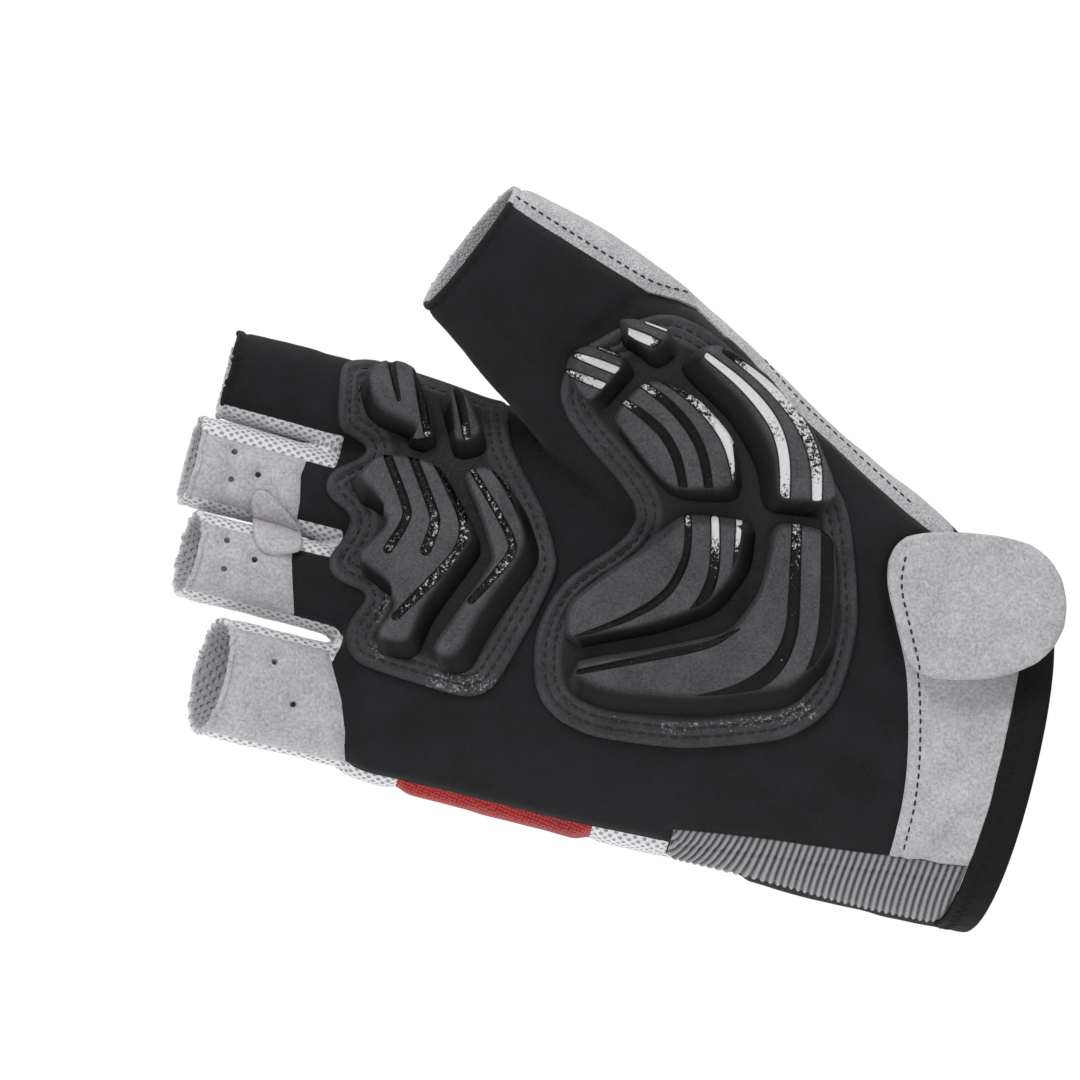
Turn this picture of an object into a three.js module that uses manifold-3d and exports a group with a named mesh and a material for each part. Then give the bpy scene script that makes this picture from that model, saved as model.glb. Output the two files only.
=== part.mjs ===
// A half-finger cycling glove for the right hand, kept in the form it has when worn.
// The wrist opening is centred on the origin. The fingers point along -X, the palm faces -Y
// and the thumb side is +Z. All sizes are millimetres.
import * as THREE from 'three';
import { mergeVertices } from 'three/addons/utils/BufferGeometryUtils.js';
import Module from 'manifold-3d';

const wasm = await Module();
wasm.setup();

// Driving dimensions
const gloveLength = 182; // wrist opening to the open end of the longest finger
const palmBreadth = 85; // little-finger edge to index edge at the knuckles
const palmDepth = 36; // palm side to back of the hand
const wristBreadth = 69; // across the wrist opening
const wristDepth = 48; // through the wrist opening
const fingerWidth = 19.5; // across a finger tube, seen from the palm
const fingerDepth = 18.5; // through a finger tube
const thumbWidth = 31.5; // across the open end of the thumb
const thumbDepth = 26; // through the open end of the thumb
const clothWall = 1.4; // suede, mesh and towelling panels
const neopreneRise = 1.0; // how far the neoprene stands above the panels beside it
const seamGap = 0.36; // between neighbouring panels
const bindingWidth = 6.4; // elastic tape round the wrist opening
const bindingRise = 0.9; // how far the tape stands above the cuff
const layerGap = 0.3; // between a sewn-on layer and what it lies on
const backingWall = 1.0; // stitched sheet under the pad blocks
const blockHeight = 4.2; // raised foam blocks, above the sheet
const ribPitch = 1.45; // knitted ribs of the wrist gusset
const ribHeight = 0.55;
const tabWall = 1.3; // suede of the wrist tab
const tabLift = 1.6; // clearance between the wrist tab and the cuff under it
const pullTabWall = 1.2;
const ventRadius = 0.65; // punched air holes in the finger suede

// How finely the tubes are faceted
const palmSides = 24;
const fingerSides = 12;
const thumbSides = 16;
const palmStations = 14;
const fingerStations = 4;
const thumbPlaces = [0, 1, 2, 3, 3.5, 3.85, 4.2, 4.6, 5.2, 6]; // closer together at its fold

const degrees = Math.PI / 180;
const clothPast = 16; // how far the cutting tools run past the cloth
const mix = (a, b, share) => a + (b - a) * share;

// Sections of the hand, from the wrist to the web between the fingers. along is a share of the
// glove's length; top and bottom are shares of the breadth there, front and back of the depth
// there. lean turns the little-finger side forward, and slant sets it nearer the wrist.
const taperEnds = 0.45; // where the wrist sizes have grown to the palm sizes
const cuffTip = 0.042; // the palm side of the opening reaches further up the arm than the back
const tipEnds = 0.2; // where that has faded out
const palmRows = [
  { along: 0.0, top: 0.5, bottom: -0.5, front: 0.5, back: 0.5, lean: 0, slant: 0, square: 2.1 },
  { along: 0.066, top: 0.497, bottom: -0.493, front: 0.485, back: 0.49, lean: 0, slant: 0, square: 2.1 },
  { along: 0.137, top: 0.505, bottom: -0.481, front: 0.49, back: 0.49, lean: 0, slant: 0, square: 2.15 },
  { along: 0.275, top: 0.546, bottom: -0.446, front: 0.5, back: 0.5, lean: 0, slant: 0, square: 2.25 },
  { along: 0.44, top: 0.565, bottom: -0.421, front: 0.52, back: 0.5, lean: 0.01, slant: 0, square: 2.4 },
  { along: 0.577, top: 0.582, bottom: -0.417, front: 0.5, back: 0.46, lean: 0.04, slant: 0.02, square: 2.5 },
  { along: 0.687, top: 0.594, bottom: -0.412, front: 0.45, back: 0.41, lean: 0.1, slant: 0.08, square: 2.5 },
  { along: 0.76, top: 0.592, bottom: -0.408, front: 0.4, back: 0.34, lean: 0.14, slant: 0.16, square: 2.5 },
  { along: 0.8, top: 0.58, bottom: -0.395, front: 0.32, back: 0.25, lean: 0.15, slant: 0.22, square: 2.4 },
  { along: 0.819, top: 0.56, bottom: -0.37, front: 0.16, back: 0.12, lean: 0.16, slant: 0.24, square: 2.2 },
];

// Centre lines of the tubes, from inside the palm to the open end. along is a share of the
// glove's length, across of the palm's breadth, out of its depth (negative is forward);
// width and depth are shares of the finger's or the thumb's own width and depth.
const indexRows = [
  { along: 0.6, across: 0.45, out: 0.05, width: 0.92, depth: 1.0 },
  { along: 0.74, across: 0.475, out: 0.02, width: 1.02, depth: 1.03 },
  { along: 0.87, across: 0.486, out: -0.03, width: 1.02, depth: 1.0 },
  { along: 0.985, across: 0.49, out: -0.09, width: 1.0, depth: 0.98 },
];
const middleRows = [
  { along: 0.6, across: 0.24, out: 0.02, width: 0.92, depth: 1.0 },
  { along: 0.74, across: 0.25, out: -0.03, width: 1.0, depth: 1.02 },
  { along: 0.87, across: 0.257, out: -0.13, width: 1.0, depth: 1.0 },
  { along: 1.0, across: 0.262, out: -0.27, width: 1.0, depth: 0.98 },
];
const ringRows = [
  { along: 0.6, across: 0.02, out: -0.01, width: 0.92, depth: 1.0 },
  { along: 0.74, across: 0.028, out: -0.1, width: 0.97, depth: 1.0 },
  { along: 0.86, across: 0.034, out: -0.24, width: 0.96, depth: 1.0 },
  { along: 0.975, across: 0.038, out: -0.42, width: 0.96, depth: 0.98 },
];
const littleRows = [
  { along: 0.6, across: -0.235, out: -0.04, width: 1.1, depth: 1.0 },
  { along: 0.72, across: -0.242, out: -0.14, width: 1.24, depth: 1.02 },
  { along: 0.82, across: -0.242, out: -0.32, width: 1.28, depth: 1.0 },
  { along: 0.915, across: -0.24, out: -0.55, width: 1.28, depth: 0.98 },
];
const thumbRows = [
  { along: 0.04, across: 0.14, out: -0.02, width: 1.25, depth: 1.45 },
  { along: 0.192, across: 0.306, out: -0.12, width: 1.54, depth: 1.54 },
  { along: 0.33, across: 0.47, out: -0.19, width: 1.42, depth: 1.46 },
  { along: 0.467, across: 0.629, out: -0.27, width: 1.45, depth: 1.31 },
  { along: 0.577, across: 0.765, out: -0.37, width: 1.37, depth: 1.17 },
  { along: 0.663, across: 0.856, out: -0.48, width: 1.22, depth: 1.08 },
  { along: 0.747, across: 0.934, out: -0.56, width: 1.0, depth: 1.0 },
];

// Every column of a table at a place between its rows, on a smooth curve.
function rowAt(rows, place) {
  const last = rows.length - 1;
  const first = Math.min(Math.floor(place), last - 1);
  const share = place - first;
  const near = (index) => rows[Math.min(Math.max(index, 0), last)];
  const blended = {};
  for (const column of Object.keys(rows[0])) {
    const [a, b, c, d] = [-1, 0, 1, 2].map((step) => near(first + step)[column]);
    const linear = 0.5 * (c - a) * share;
    const square = (a - 2.5 * b + 2 * c - 0.5 * d) * share ** 2;
    const cube = (0.5 * (d - a) + 1.5 * (b - c)) * share ** 3;
    blended[column] = b + linear + square + cube;
  }
  return blended;
}

// A rounded square wave: sine and cosine bent towards a rounded box.
const bent = (value, square) => Math.sign(value) * Math.abs(value) ** (2 / square);

// A point of the hand's skin. Angle 0 faces forward, 90 the thumb side and 180 back; grow
// moves the skin outwards.
function palmPoint(place, angle, grow = 0) {
  const row = rowAt(palmRows, place);
  const grown = Math.min(row.along / taperEnds, 1);
  const breadth = mix(wristBreadth, palmBreadth, grown);
  const depth = mix(wristDepth, palmDepth, grown);
  const middle = (breadth * (row.top + row.bottom)) / 2;
  const half = (breadth * (row.top - row.bottom)) / 2 + grow;
  const across = bent(Math.sin(angle), row.square) * half;
  const facing = Math.cos(angle) > 0 ? row.front : row.back;
  const out = -bent(Math.cos(angle), row.square) * (depth * facing + grow);
  const webShare = Math.max(0, place - (palmRows.length - 3)) / 2;
  const tip = (-out / wristDepth) * cuffTip * Math.max(0, 1 - row.along / tipEnds);
  const x = (tip - row.along) * gloveLength - row.slant * across - grow * webShare;
  return new THREE.Vector3(x, out + row.lean * across, middle + across);
}

// The centre of a tube at a place on its table.
function centreOf(rows, place) {
  const row = rowAt(rows, place);
  return new THREE.Vector3(-row.along * gloveLength, row.out * palmDepth, row.across * palmBreadth);
}

// A point of a tube's skin, in the plane square to its centre line.
function tubePoint(tube, place, angle, grow = 0) {
  const { rows, width, depth } = tube;
  const row = rowAt(rows, place);
  const step = 0.05;
  const ahead = centreOf(rows, Math.min(place + step, rows.length - 1));
  const behind = centreOf(rows, Math.max(place - step, 0));
  const along = ahead.sub(behind).normalize();
  const forward = new THREE.Vector3(0, -1, 0);
  forward.addScaledVector(along, -forward.dot(along)).normalize();
  const sideways = new THREE.Vector3().crossVectors(along, forward);
  const sunk = tube.folds.reduce(
    (sum, fold) => sum + fold.depth * Math.exp(-(((place - fold.at) / fold.width) ** 2)),
    0,
  );
  const halfWidth = (row.width * width) / 2 + grow;
  const halfDepth = (row.depth * depth) / 2 + grow - (Math.cos(angle) > 0 ? sunk : 0);
  return centreOf(rows, place)
    .addScaledVector(forward, bent(Math.cos(angle), tube.square) * halfDepth)
    .addScaledVector(sideways, bent(Math.sin(angle), tube.square) * halfWidth);
}

// A tube runs past its last row, so that the hollow inside it is open at the end.
function endOf(tube, past) {
  const last = tube.rows.length - 1;
  const along = centreOf(tube.rows, last).sub(centreOf(tube.rows, last - 0.05)).normalize();
  return along.multiplyScalar(past);
}

// Folds across the palm side of the thumb: at and width are places on its table, depth is how
// far the cloth is sunk there.
const thumbFolds = [
  { at: 3.85, width: 0.28, depth: 1.7 },
  { at: 4.6, width: 0.4, depth: -0.5 },
];
const finger = (rows) => {
  const places = Array.from({ length: fingerStations }, (_, station) =>
    (station * (rows.length - 1)) / (fingerStations - 1),
  );
  return { rows, width: fingerWidth, depth: fingerDepth, square: 2.2, folds: [], places };
};
const indexTube = finger(indexRows);
const middleTube = finger(middleRows);
const ringTube = finger(ringRows);
const littleTube = finger(littleRows);
const thumbTube = {
  rows: thumbRows,
  width: thumbWidth,
  depth: thumbDepth,
  square: 2.15,
  folds: thumbFolds,
  places: thumbPlaces,
};
const fingerTubes = [indexTube, middleTube, ringTube, littleTube];

// A closed solid from its corners and its triangles.
function solidFrom(corners, triangles) {
  const vertProperties = new Float32Array(corners.flatMap((corner) => corner.toArray()));
  const build = (faces) => {
    const mesh = new wasm.Mesh({ numProp: 3, vertProperties, triVerts: new Uint32Array(faces) });
    return new wasm.Manifold(mesh);
  };
  const made = build(triangles);
  return made.volume() > 0 ? made : build(triangles.toReversed());
}

// A solid through a row of rings, closed at both ends.
function loft(rings) {
  const sides = rings[0].length;
  const corners = rings.flat();
  const triangles = [];
  for (let ring = 0; ring < rings.length - 1; ring++) {
    for (let side = 0; side < sides; side++) {
      const next = (side + 1) % sides;
      const [a, b] = [ring * sides + side, ring * sides + next];
      triangles.push(a, b, b + sides, a, b + sides, a + sides);
    }
  }
  for (const [ring, reversed] of [[0, true], [rings.length - 1, false]]) {
    const centre = corners.length;
    const sum = rings[ring].reduce((total, corner) => total.add(corner), new THREE.Vector3());
    corners.push(sum.divideScalar(sides));
    for (let side = 0; side < sides; side++) {
      const [a, b] = [ring * sides + side, ring * sides + ((side + 1) % sides)];
      triangles.push(...(reversed ? [b, a, centre] : [a, b, centre]));
    }
  }
  return solidFrom(corners, triangles);
}

// A curved sheet between an outer and an inner surface, each a function of two shares.
function sheet(outer, inner, rows, columns) {
  const corners = [];
  for (const surface of [outer, inner]) {
    for (let row = 0; row <= rows; row++) {
      for (let column = 0; column <= columns; column++) {
        corners.push(surface(row / rows, column / columns));
      }
    }
  }
  const under = corners.length / 2;
  const at = (row, column) => row * (columns + 1) + column;
  const triangles = [];
  const quad = (a, b, c, d) => triangles.push(a, b, c, a, c, d);
  for (let row = 0; row < rows; row++) {
    for (let column = 0; column < columns; column++) {
      const [a, b] = [at(row, column), at(row, column + 1)];
      const [c, d] = [at(row + 1, column + 1), at(row + 1, column)];
      quad(a, b, c, d);
      quad(d + under, c + under, b + under, a + under);
    }
    const [near, far] = [at(row, 0), at(row + 1, 0)];
    quad(near, far, far + under, near + under);
    const [nearEnd, farEnd] = [at(row, columns), at(row + 1, columns)];
    quad(farEnd, nearEnd, nearEnd + under, farEnd + under);
  }
  for (let column = 0; column < columns; column++) {
    const [left, right] = [at(0, column), at(0, column + 1)];
    quad(right, left, left + under, right + under);
    const [leftEnd, rightEnd] = [at(rows, column), at(rows, column + 1)];
    quad(leftEnd, rightEnd, rightEnd + under, leftEnd + under);
  }
  return solidFrom(corners, triangles);
}

// The whole skin of the glove as a filled solid, moved outwards by grow. The hollow one is
// open at the wrist, the fingers and the thumb.
function skin(grow, hollow = false) {
  const palmEnd = palmRows.length - 1;
  const ringOf = (sides, point) =>
    Array.from({ length: sides }, (_, side) => point((side * 2 * Math.PI) / sides));
  const palmRings = Array.from({ length: palmStations }, (_, station) =>
    ringOf(palmSides, (angle) => palmPoint((station * palmEnd) / (palmStations - 1), angle, grow)),
  );
  if (hollow) {
    const mouth = new THREE.Vector3(clothPast, 0, 0);
    palmRings.unshift(palmRings[0].map((corner) => corner.clone().add(mouth)));
  }
  let whole = loft(palmRings);
  for (const tube of [...fingerTubes, thumbTube]) {
    const sides = tube === thumbTube ? thumbSides : fingerSides;
    const rings = tube.places.map((place) =>
      ringOf(sides, (angle) => tubePoint(tube, place, angle, grow)),
    );
    if (hollow) {
      const mouth = endOf(tube, clothPast);
      rings.push(rings.at(-1).map((corner) => corner.clone().add(mouth)));
    }
    whole = whole.add(loft(rings));
  }
  return whole;
}

const cloth = skin(0).subtract(skin(-clothWall, true));

// Cutting tools

const box = (low, high) => {
  const size = new THREE.Vector3().subVectors(high, low);
  const shape = new THREE.BoxGeometry(size.x, size.y, size.z);
  shape.translate(...new THREE.Vector3().addVectors(low, high).multiplyScalar(0.5).toArray());
  return fromGeometry(shape);
};

function fromGeometry(geometry) {
  const bare = geometry.clone();
  bare.deleteAttribute('normal');
  bare.deleteAttribute('uv');
  const merged = mergeVertices(bare, 1e-4);
  const vertProperties = new Float32Array(merged.attributes.position.array);
  const triVerts = new Uint32Array(merged.index.array);
  return new wasm.Manifold(new wasm.Mesh({ numProp: 3, vertProperties, triVerts }));
}

// A tool that holds part of a tube's wall: between two places along it and two angles round
// it, in degrees. from and to may be functions of the place.
function sector(point, [start, end], [from, to], widen = 0, deep = 6.5) {
  const steps = 4;
  const valueAt = (limit, place) => (typeof limit === 'function' ? limit(place) : limit);
  const surface = (grow) => (row, column) => {
    const place = mix(start, end, row);
    const low = valueAt(from, place) - widen;
    const high = valueAt(to, place) + widen;
    return point(place, mix(low, high, column) * degrees, grow);
  };
  return sheet(surface(4), surface(-deep), steps, steps);
}

const onPalm = (place, angle, grow) => palmPoint(place, angle, grow);
const onTube = (tube) => (place, angle, grow) => tubePoint(tube, place, angle, grow);

// The place on the palm's table that lies at a share of the glove's length, by halving.
function placeAt(along) {
  let [low, high] = [0, palmRows.length - 1];
  for (let halving = 0; halving < 24; halving++) {
    const middle = (low + high) / 2;
    if (rowAt(palmRows, middle).along < along) low = middle;
    else high = middle;
  }
  return (low + high) / 2;
}

// A prism along Y over an outline of [along, across] corners, which are shares of the glove's
// length and the palm's breadth. round rounds its corners, spread moves its sides outwards.
function prism(corners, { round = 0, spread = 0, front = -90, back = 60 } = {}) {
  const points = corners.map(
    ([along, across]) => new THREE.Vector2(-along * gloveLength, across * palmBreadth),
  );
  const moved = spreadOutline(points, spread);
  const shape = new THREE.Shape();
  moved.forEach((corner, index) => {
    const before = moved.at(index - 1);
    const after = moved[(index + 1) % moved.length];
    const reach = (other) => Math.min(round, corner.distanceTo(other) * 0.45);
    const start = corner.clone().lerp(before, reach(before) / corner.distanceTo(before));
    const end = corner.clone().lerp(after, reach(after) / corner.distanceTo(after));
    if (index === 0) shape.moveTo(start.x, start.y);
    else shape.lineTo(start.x, start.y);
    if (round > 0) shape.quadraticCurveTo(corner.x, corner.y, end.x, end.y);
  });
  const options = { depth: back - front, bevelEnabled: false, curveSegments: 1 };
  const geometry = new THREE.ExtrudeGeometry(shape, options);
  geometry.rotateX(Math.PI / 2);
  geometry.translate(0, back, 0);
  return fromGeometry(geometry);
}

// An outline with each side moved outwards by the same distance.
function spreadOutline(points, distance) {
  const turning = Math.sign(THREE.ShapeUtils.area(points));
  return points.map((corner, index) => {
    const before = points.at(index - 1);
    const after = points[(index + 1) % points.length];
    const first = corner.clone().sub(before).normalize();
    const second = after.clone().sub(corner).normalize();
    const normal = new THREE.Vector2(first.y + second.y, -first.x - second.x).normalize();
    const straight = Math.max(0.5, normal.x * first.y - normal.y * first.x);
    return corner.clone().addScaledVector(normal, (turning * distance) / straight);
  });
}

// The largest body of a solid: what a cut leaves over beside it is thread waste.
function largest(solid) {
  const bodies = solid.decompose();
  return bodies.reduce((best, body) => (body.volume() > best.volume() ? body : best));
}

// Seams, as shares of the glove's length and the palm's breadth

const cuffSeam = [
  [0.111, -0.5], [0.112, -0.26], [0.113, -0.13], [0.122, 0], [0.143, 0.176],
  [0.172, 0.294], [0.196, 0.388], [0.2, 0.48], [0.182, 0.56], [0.15, 0.66],
];
const gussetStarts = 0.36; // ribbed knit, from here to the binding
const bandStarts = 0.682; // red knuckle band, finger side
const bandEnds = 0.45; // red knuckle band, wrist side
const neopreneStarts = 0.27;
const gussetBackSeam = 277; // degrees round the wrist
const wristBackSeam = -0.1; // where the neoprene starts on the thumb side, of the palm's depth

// How far round the palm the seam along the little-finger edge lies.
function edgeSeam(place) {
  const row = rowAt(palmRows, place);
  const table = [[0, 0.58], [0.11, 0.64], [0.2, 0.72], [0.36, 0.84], [0.5, 0.9], [0.85, 0.9]];
  const next = Math.max(1, table.findIndex(([along]) => along > row.along));
  const [low, high] = [table[next - 1], table[next]];
  const sine = mix(low[1], high[1], (row.along - low[0]) / (high[0] - low[0]));
  return 360 - Math.asin(sine ** (row.square / 2)) / degrees;
}

// How far round the thumb the towelling starts: near the thumb's edge, as seen from the palm.
function towellingSeam(place) {
  const seams = [60, 64, 76, 80, 52, 45, 50];
  const low = Math.min(Math.floor(place), seams.length - 2);
  return mix(seams[low], seams[low + 1], place - low);
}

const gapAngle = (tubeWidth) => seamGap / (tubeWidth / 2) / degrees;

// Outlines of the finger suede: the curved seam against the palm, and out past the open end.
const suedeOutlines = {
  middle: [[0.868, 0.42], [0.874, 0.29], [0.868, 0.23], [0.864, 0.05], [1.1, 0.05], [1.1, 0.42]],
  ring: [[0.868, 0.2], [0.86, 0.09], [0.847, -0.01], [0.832, -0.15], [1.1, -0.15], [1.1, 0.2]],
  little: [
    [0.805, -0.06], [0.785, -0.14], [0.765, -0.22], [0.752, -0.3], [0.742, -0.42],
    [1.1, -0.42], [1.1, -0.06],
  ],
};
const vents = {
  middle: [[0.953, 0.284], [0.965, 0.211], [0.921, 0.204]],
  ring: [[0.954, 0.1], [0.912, 0.018], [0.946, 0.016]],
  little: [[0.871, -0.163]],
};

// Sewn-on pads, seen from the palm: [along, across] corners in the same shares.
const heelBacking = [
  [0.607, 0.69], [0.609, 0.617], [0.576, 0.543], [0.513, 0.454], [0.484, 0.39], [0.504, 0.304],
  [0.548, 0.219], [0.569, 0.098], [0.566, -0.014], [0.544, -0.122], [0.485, -0.165],
  [0.371, -0.137], [0.256, -0.05], [0.212, 0.063], [0.212, 0.268], [0.254, 0.54],
  [0.338, 0.725], [0.441, 0.87], [0.502, 0.905], [0.537, 0.865], [0.568, 0.807], [0.6, 0.74],
];
const knuckleBacking = [
  [0.864, 0.6], [0.848, 0.428], [0.837, 0.414], [0.802, 0.394], [0.842, 0.325], [0.845, 0.285],
  [0.836, 0.25], [0.801, 0.222], [0.82, 0.128], [0.816, 0.084], [0.8, 0.06], [0.763, 0.05],
  [0.784, -0.037], [0.778, -0.092], [0.762, -0.127], [0.648, -0.142], [0.619, -0.139],
  [0.598, -0.097], [0.57, 0.108], [0.56, 0.233], [0.593, 0.356], [0.648, 0.492], [0.672, 0.64],
  [0.77, 0.66],
];
const padBlocks = {
  thenar_block_1: [
    [0.607, 0.687], [0.6, 0.734], [0.583, 0.761], [0.542, 0.762], [0.528, 0.736],
    [0.542, 0.68], [0.558, 0.612], [0.572, 0.616], [0.593, 0.646],
  ],
  thenar_block_2: [
    [0.566, 0.792], [0.558, 0.838], [0.54, 0.862], [0.494, 0.859], [0.474, 0.845],
    [0.491, 0.79], [0.507, 0.75], [0.53, 0.775],
  ],
  thenar_block_3: [
    [0.534, 0.668], [0.522, 0.707], [0.506, 0.73], [0.451, 0.713], [0.4, 0.636], [0.378, 0.518],
    [0.384, 0.474], [0.45, 0.436], [0.476, 0.461], [0.538, 0.568], [0.548, 0.6],
  ],
  thenar_block_4: [
    [0.482, 0.759], [0.476, 0.81], [0.447, 0.84], [0.39, 0.795], [0.328, 0.705], [0.286, 0.585],
    [0.276, 0.54], [0.282, 0.503], [0.352, 0.47], [0.368, 0.579], [0.41, 0.68],
  ],
  heel_block_1: [
    [0.445, 0.404], [0.417, 0.425], [0.367, 0.44], [0.353, 0.425], [0.35, 0.305], [0.372, 0.209],
    [0.43, 0.129], [0.523, 0.036], [0.534, 0.045], [0.545, 0.145], [0.504, 0.255], [0.456, 0.363],
  ],
  heel_block_2: [
    [0.338, 0.447], [0.32, 0.468], [0.266, 0.474], [0.244, 0.323], [0.233, 0.141], [0.265, 0.027],
    [0.361, -0.053], [0.469, -0.095], [0.521, -0.072], [0.526, 0.006], [0.438, 0.087],
    [0.353, 0.175], [0.334, 0.29],
  ],
  knuckle_block_1: [
    [0.837, 0.592], [0.812, 0.64], [0.772, 0.635], [0.747, 0.54], [0.731, 0.445],
    [0.74, 0.428], [0.803, 0.442], [0.823, 0.485],
  ],
  knuckle_block_2: [
    [0.74, 0.576], [0.735, 0.61], [0.722, 0.622], [0.698, 0.57], [0.675, 0.49], [0.68, 0.461],
    [0.707, 0.426], [0.718, 0.462],
  ],
  knuckle_block_3: [
    [0.797, 0.4], [0.755, 0.412], [0.722, 0.407], [0.672, 0.285], [0.652, 0.227], [0.654, 0.202],
    [0.689, 0.014], [0.692, -0.082], [0.742, -0.091], [0.752, -0.045], [0.73, 0.05],
    [0.781, 0.09], [0.797, 0.132], [0.761, 0.241], [0.801, 0.262], [0.815, 0.301], [0.809, 0.35],
  ],
  knuckle_block_4: [
    [0.7, 0.398], [0.679, 0.428], [0.66, 0.432], [0.617, 0.356], [0.586, 0.257], [0.588, 0.206],
    [0.62, 0.025], [0.631, -0.09], [0.666, -0.096], [0.681, -0.078], [0.681, -0.033],
    [0.639, 0.196], [0.641, 0.221], [0.668, 0.314],
  ],
};

// Pieces

const pieces = [];
const addPiece = (name, solid, material) => pieces.push({ name, solid, material });

const fabric = (color, roughness, metalness = 0) =>
  new THREE.MeshStandardMaterial({ color, roughness, metalness });
const blackSuede = fabric(0x232225, 0.85);
const greySuede = fabric(0xb4b3b6, 0.92);
const whiteMesh = fabric(0xe6e5e8, 0.8);
const towelling = fabric(0xd2d2d4, 0.95);
const redKnit = fabric(0xc0201c, 0.9);
const ribKnit = fabric(0x8c8c90, 0.9);
const neoprene = fabric(0x1b1a1c, 0.8);
const padSheet = fabric(0x3c3b3e, 0.6);
const padFoam = fabric(0x4b4a4d, 0.65);

// Panels are cut out of the cloth one after another, each with its seam gap around it.
let remaining = cloth;
function cutPanel(name, tool, widerTool, material) {
  addPiece(name, largest(remaining.intersect(tool)), material);
  remaining = remaining.subtract(widerTool.add(tool));
}

const far = 300;
const slice = (start, end) => box(new THREE.Vector3(start, -far, -far), new THREE.Vector3(end, far, far));

// A filled length of the wrist, from a share of the glove's length to its opening and past it.
function cuffPlug(along, grow, past) {
  const start = placeAt(along);
  const rings = [1, 0.5, 0].map((share) =>
    Array.from({ length: palmSides }, (_, side) =>
      palmPoint(start * share, (side * 2 * Math.PI) / palmSides, grow),
    ),
  );
  const mouth = new THREE.Vector3(past, 0, 0);
  if (past > 0) rings.push(rings.at(-1).map((corner) => corner.clone().add(mouth)));
  return loft(rings);
}

// The elastic tape is a band of its own round the wrist opening.
const bindingShare = bindingWidth / gloveLength;
const cuffShare = (bindingWidth + seamGap) / gloveLength;
function wristBinding() {
  const tape = cuffPlug(bindingShare, bindingRise, 0);
  addPiece('wrist_binding', tape.subtract(skin(-clothWall, true)), neoprene);
  remaining = remaining.subtract(cuffPlug(cuffShare, clothPast, clothPast));
}

// Suede on the palm side of the middle, ring and little fingers, with its punched holes.
function fingerSuede() {
  const fingers = [
    ['middle', middleTube, [-50, 40]],
    ['ring', ringTube, [-52, 52]],
    ['little', littleTube, [-60, 66]],
  ];
  for (const [name, tube, angles] of fingers) {
    const whole = [0.5, tube.rows.length - 1 + 0.001];
    const tool = (spread) =>
      sector(onTube(tube), whole, angles, spread > 0 ? gapAngle(fingerWidth) : 0)
        .intersect(prism(suedeOutlines[name], { spread, round: 2 }));
    let holes = null;
    for (const [along, across] of vents[name]) {
      const hole = new THREE.CylinderGeometry(ventRadius, ventRadius, far, 6);
      hole.translate(-along * gloveLength, -far / 2, across * palmBreadth);
      holes = holes ? holes.add(fromGeometry(hole)) : fromGeometry(hole);
    }
    cutPanel(`${name}_finger_front`, tool(0).subtract(holes), tool(seamGap), greySuede);
  }
}

// Mesh strips down the facing sides of two fingers, joined across the web between them.
function fourchettes() {
  const pairs = [
    ['index_middle_fourchette', indexTube, [232, 318], middleTube, [40, 128], 0.374],
    ['middle_ring_fourchette', middleTube, [232, 310], ringTube, [52, 128], 0.148],
    ['ring_little_fourchette', ringTube, [232, 308], littleTube, [66, 128], -0.1],
  ];
  const web = palmRows.at(-1);
  const intoWeb = 2.2; // how far the strip runs on past the edge of the web
  const bridgeHalf = 2.6;
  for (const [name, upper, upperSide, lower, lowerSide, across] of pairs) {
    const offCentre = across - (web.top + web.bottom) / 2;
    const edge = -web.along * gloveLength - web.slant * offCentre * palmBreadth + intoWeb;
    const tool = (gap) => {
      const wider = gap ? gapAngle(fingerWidth) : 0;
      const past = 0.001;
      const half = bridgeHalf + gap;
      const bridge = box(
        new THREE.Vector3(edge - 8, -far, across * palmBreadth - half),
        new THREE.Vector3(edge + gap, far, across * palmBreadth + half),
      );
      return sector(onTube(upper), [1.2, upper.rows.length - 1 + past], upperSide, wider, 5)
        .add(sector(onTube(lower), [1.2, lower.rows.length - 1 + past], lowerSide, wider, 5))
        .add(bridge)
        .intersect(slice(-far, edge + gap));
    };
    cutPanel(name, tool(0), tool(seamGap), whiteMesh);
  }
}

// Towelling over the back of the thumb, from its open end to the cuff. Its seam across the
// back of the hand is a smooth curve.
function thumbBack() {
  const wholeThumb = [0.9, thumbRows.length - 1 + 0.001];
  const outline = [
    [0.9, 0.585], [0.66, 0.585], [0.6, 0.575], [0.5, 0.44], [0.4, 0.36], [0.3, 0.32], [0.1, 0.31],
    [0.1, 1.4], [0.9, 1.4],
  ];
  const tool = (spread) => {
    const wider = spread ? gapAngle(thumbWidth) : 0;
    return sector(onTube(thumbTube), wholeThumb, [towellingSeam, 262], wider, 14)
      .intersect(prism(outline, { spread }));
  };
  cutPanel('thumb_back', tool(0), tool(seamGap), towelling);
}

// Knitted gusset along the little-finger side of the wrist: one fold for each rib.
function ribbedGusset() {
  const start = placeAt(gussetStarts);
  const cuffEnd = placeAt(cuffShare);
  const length = gussetStarts * gloveLength - bindingWidth;
  const ribs = Math.round(length / ribPitch);
  const columns = 2;
  const around = (place, share) => mix(gussetBackSeam, edgeSeam(place), share) * degrees;
  const outer = (row, column) => {
    const place = mix(start, cuffEnd, row);
    const onRib = Math.round(row * ribs * 2) % 2;
    return palmPoint(place, around(place, column), onRib ? ribHeight : 0);
  };
  const inner = (row, column) => {
    const place = mix(start, cuffEnd, row);
    return palmPoint(place, around(place, column), -clothWall);
  };
  addPiece('ribbed_gusset', sheet(outer, inner, ribs * 2, columns), ribKnit);
  remaining = remaining.subtract(gussetTool(seamGap));
}

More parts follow.
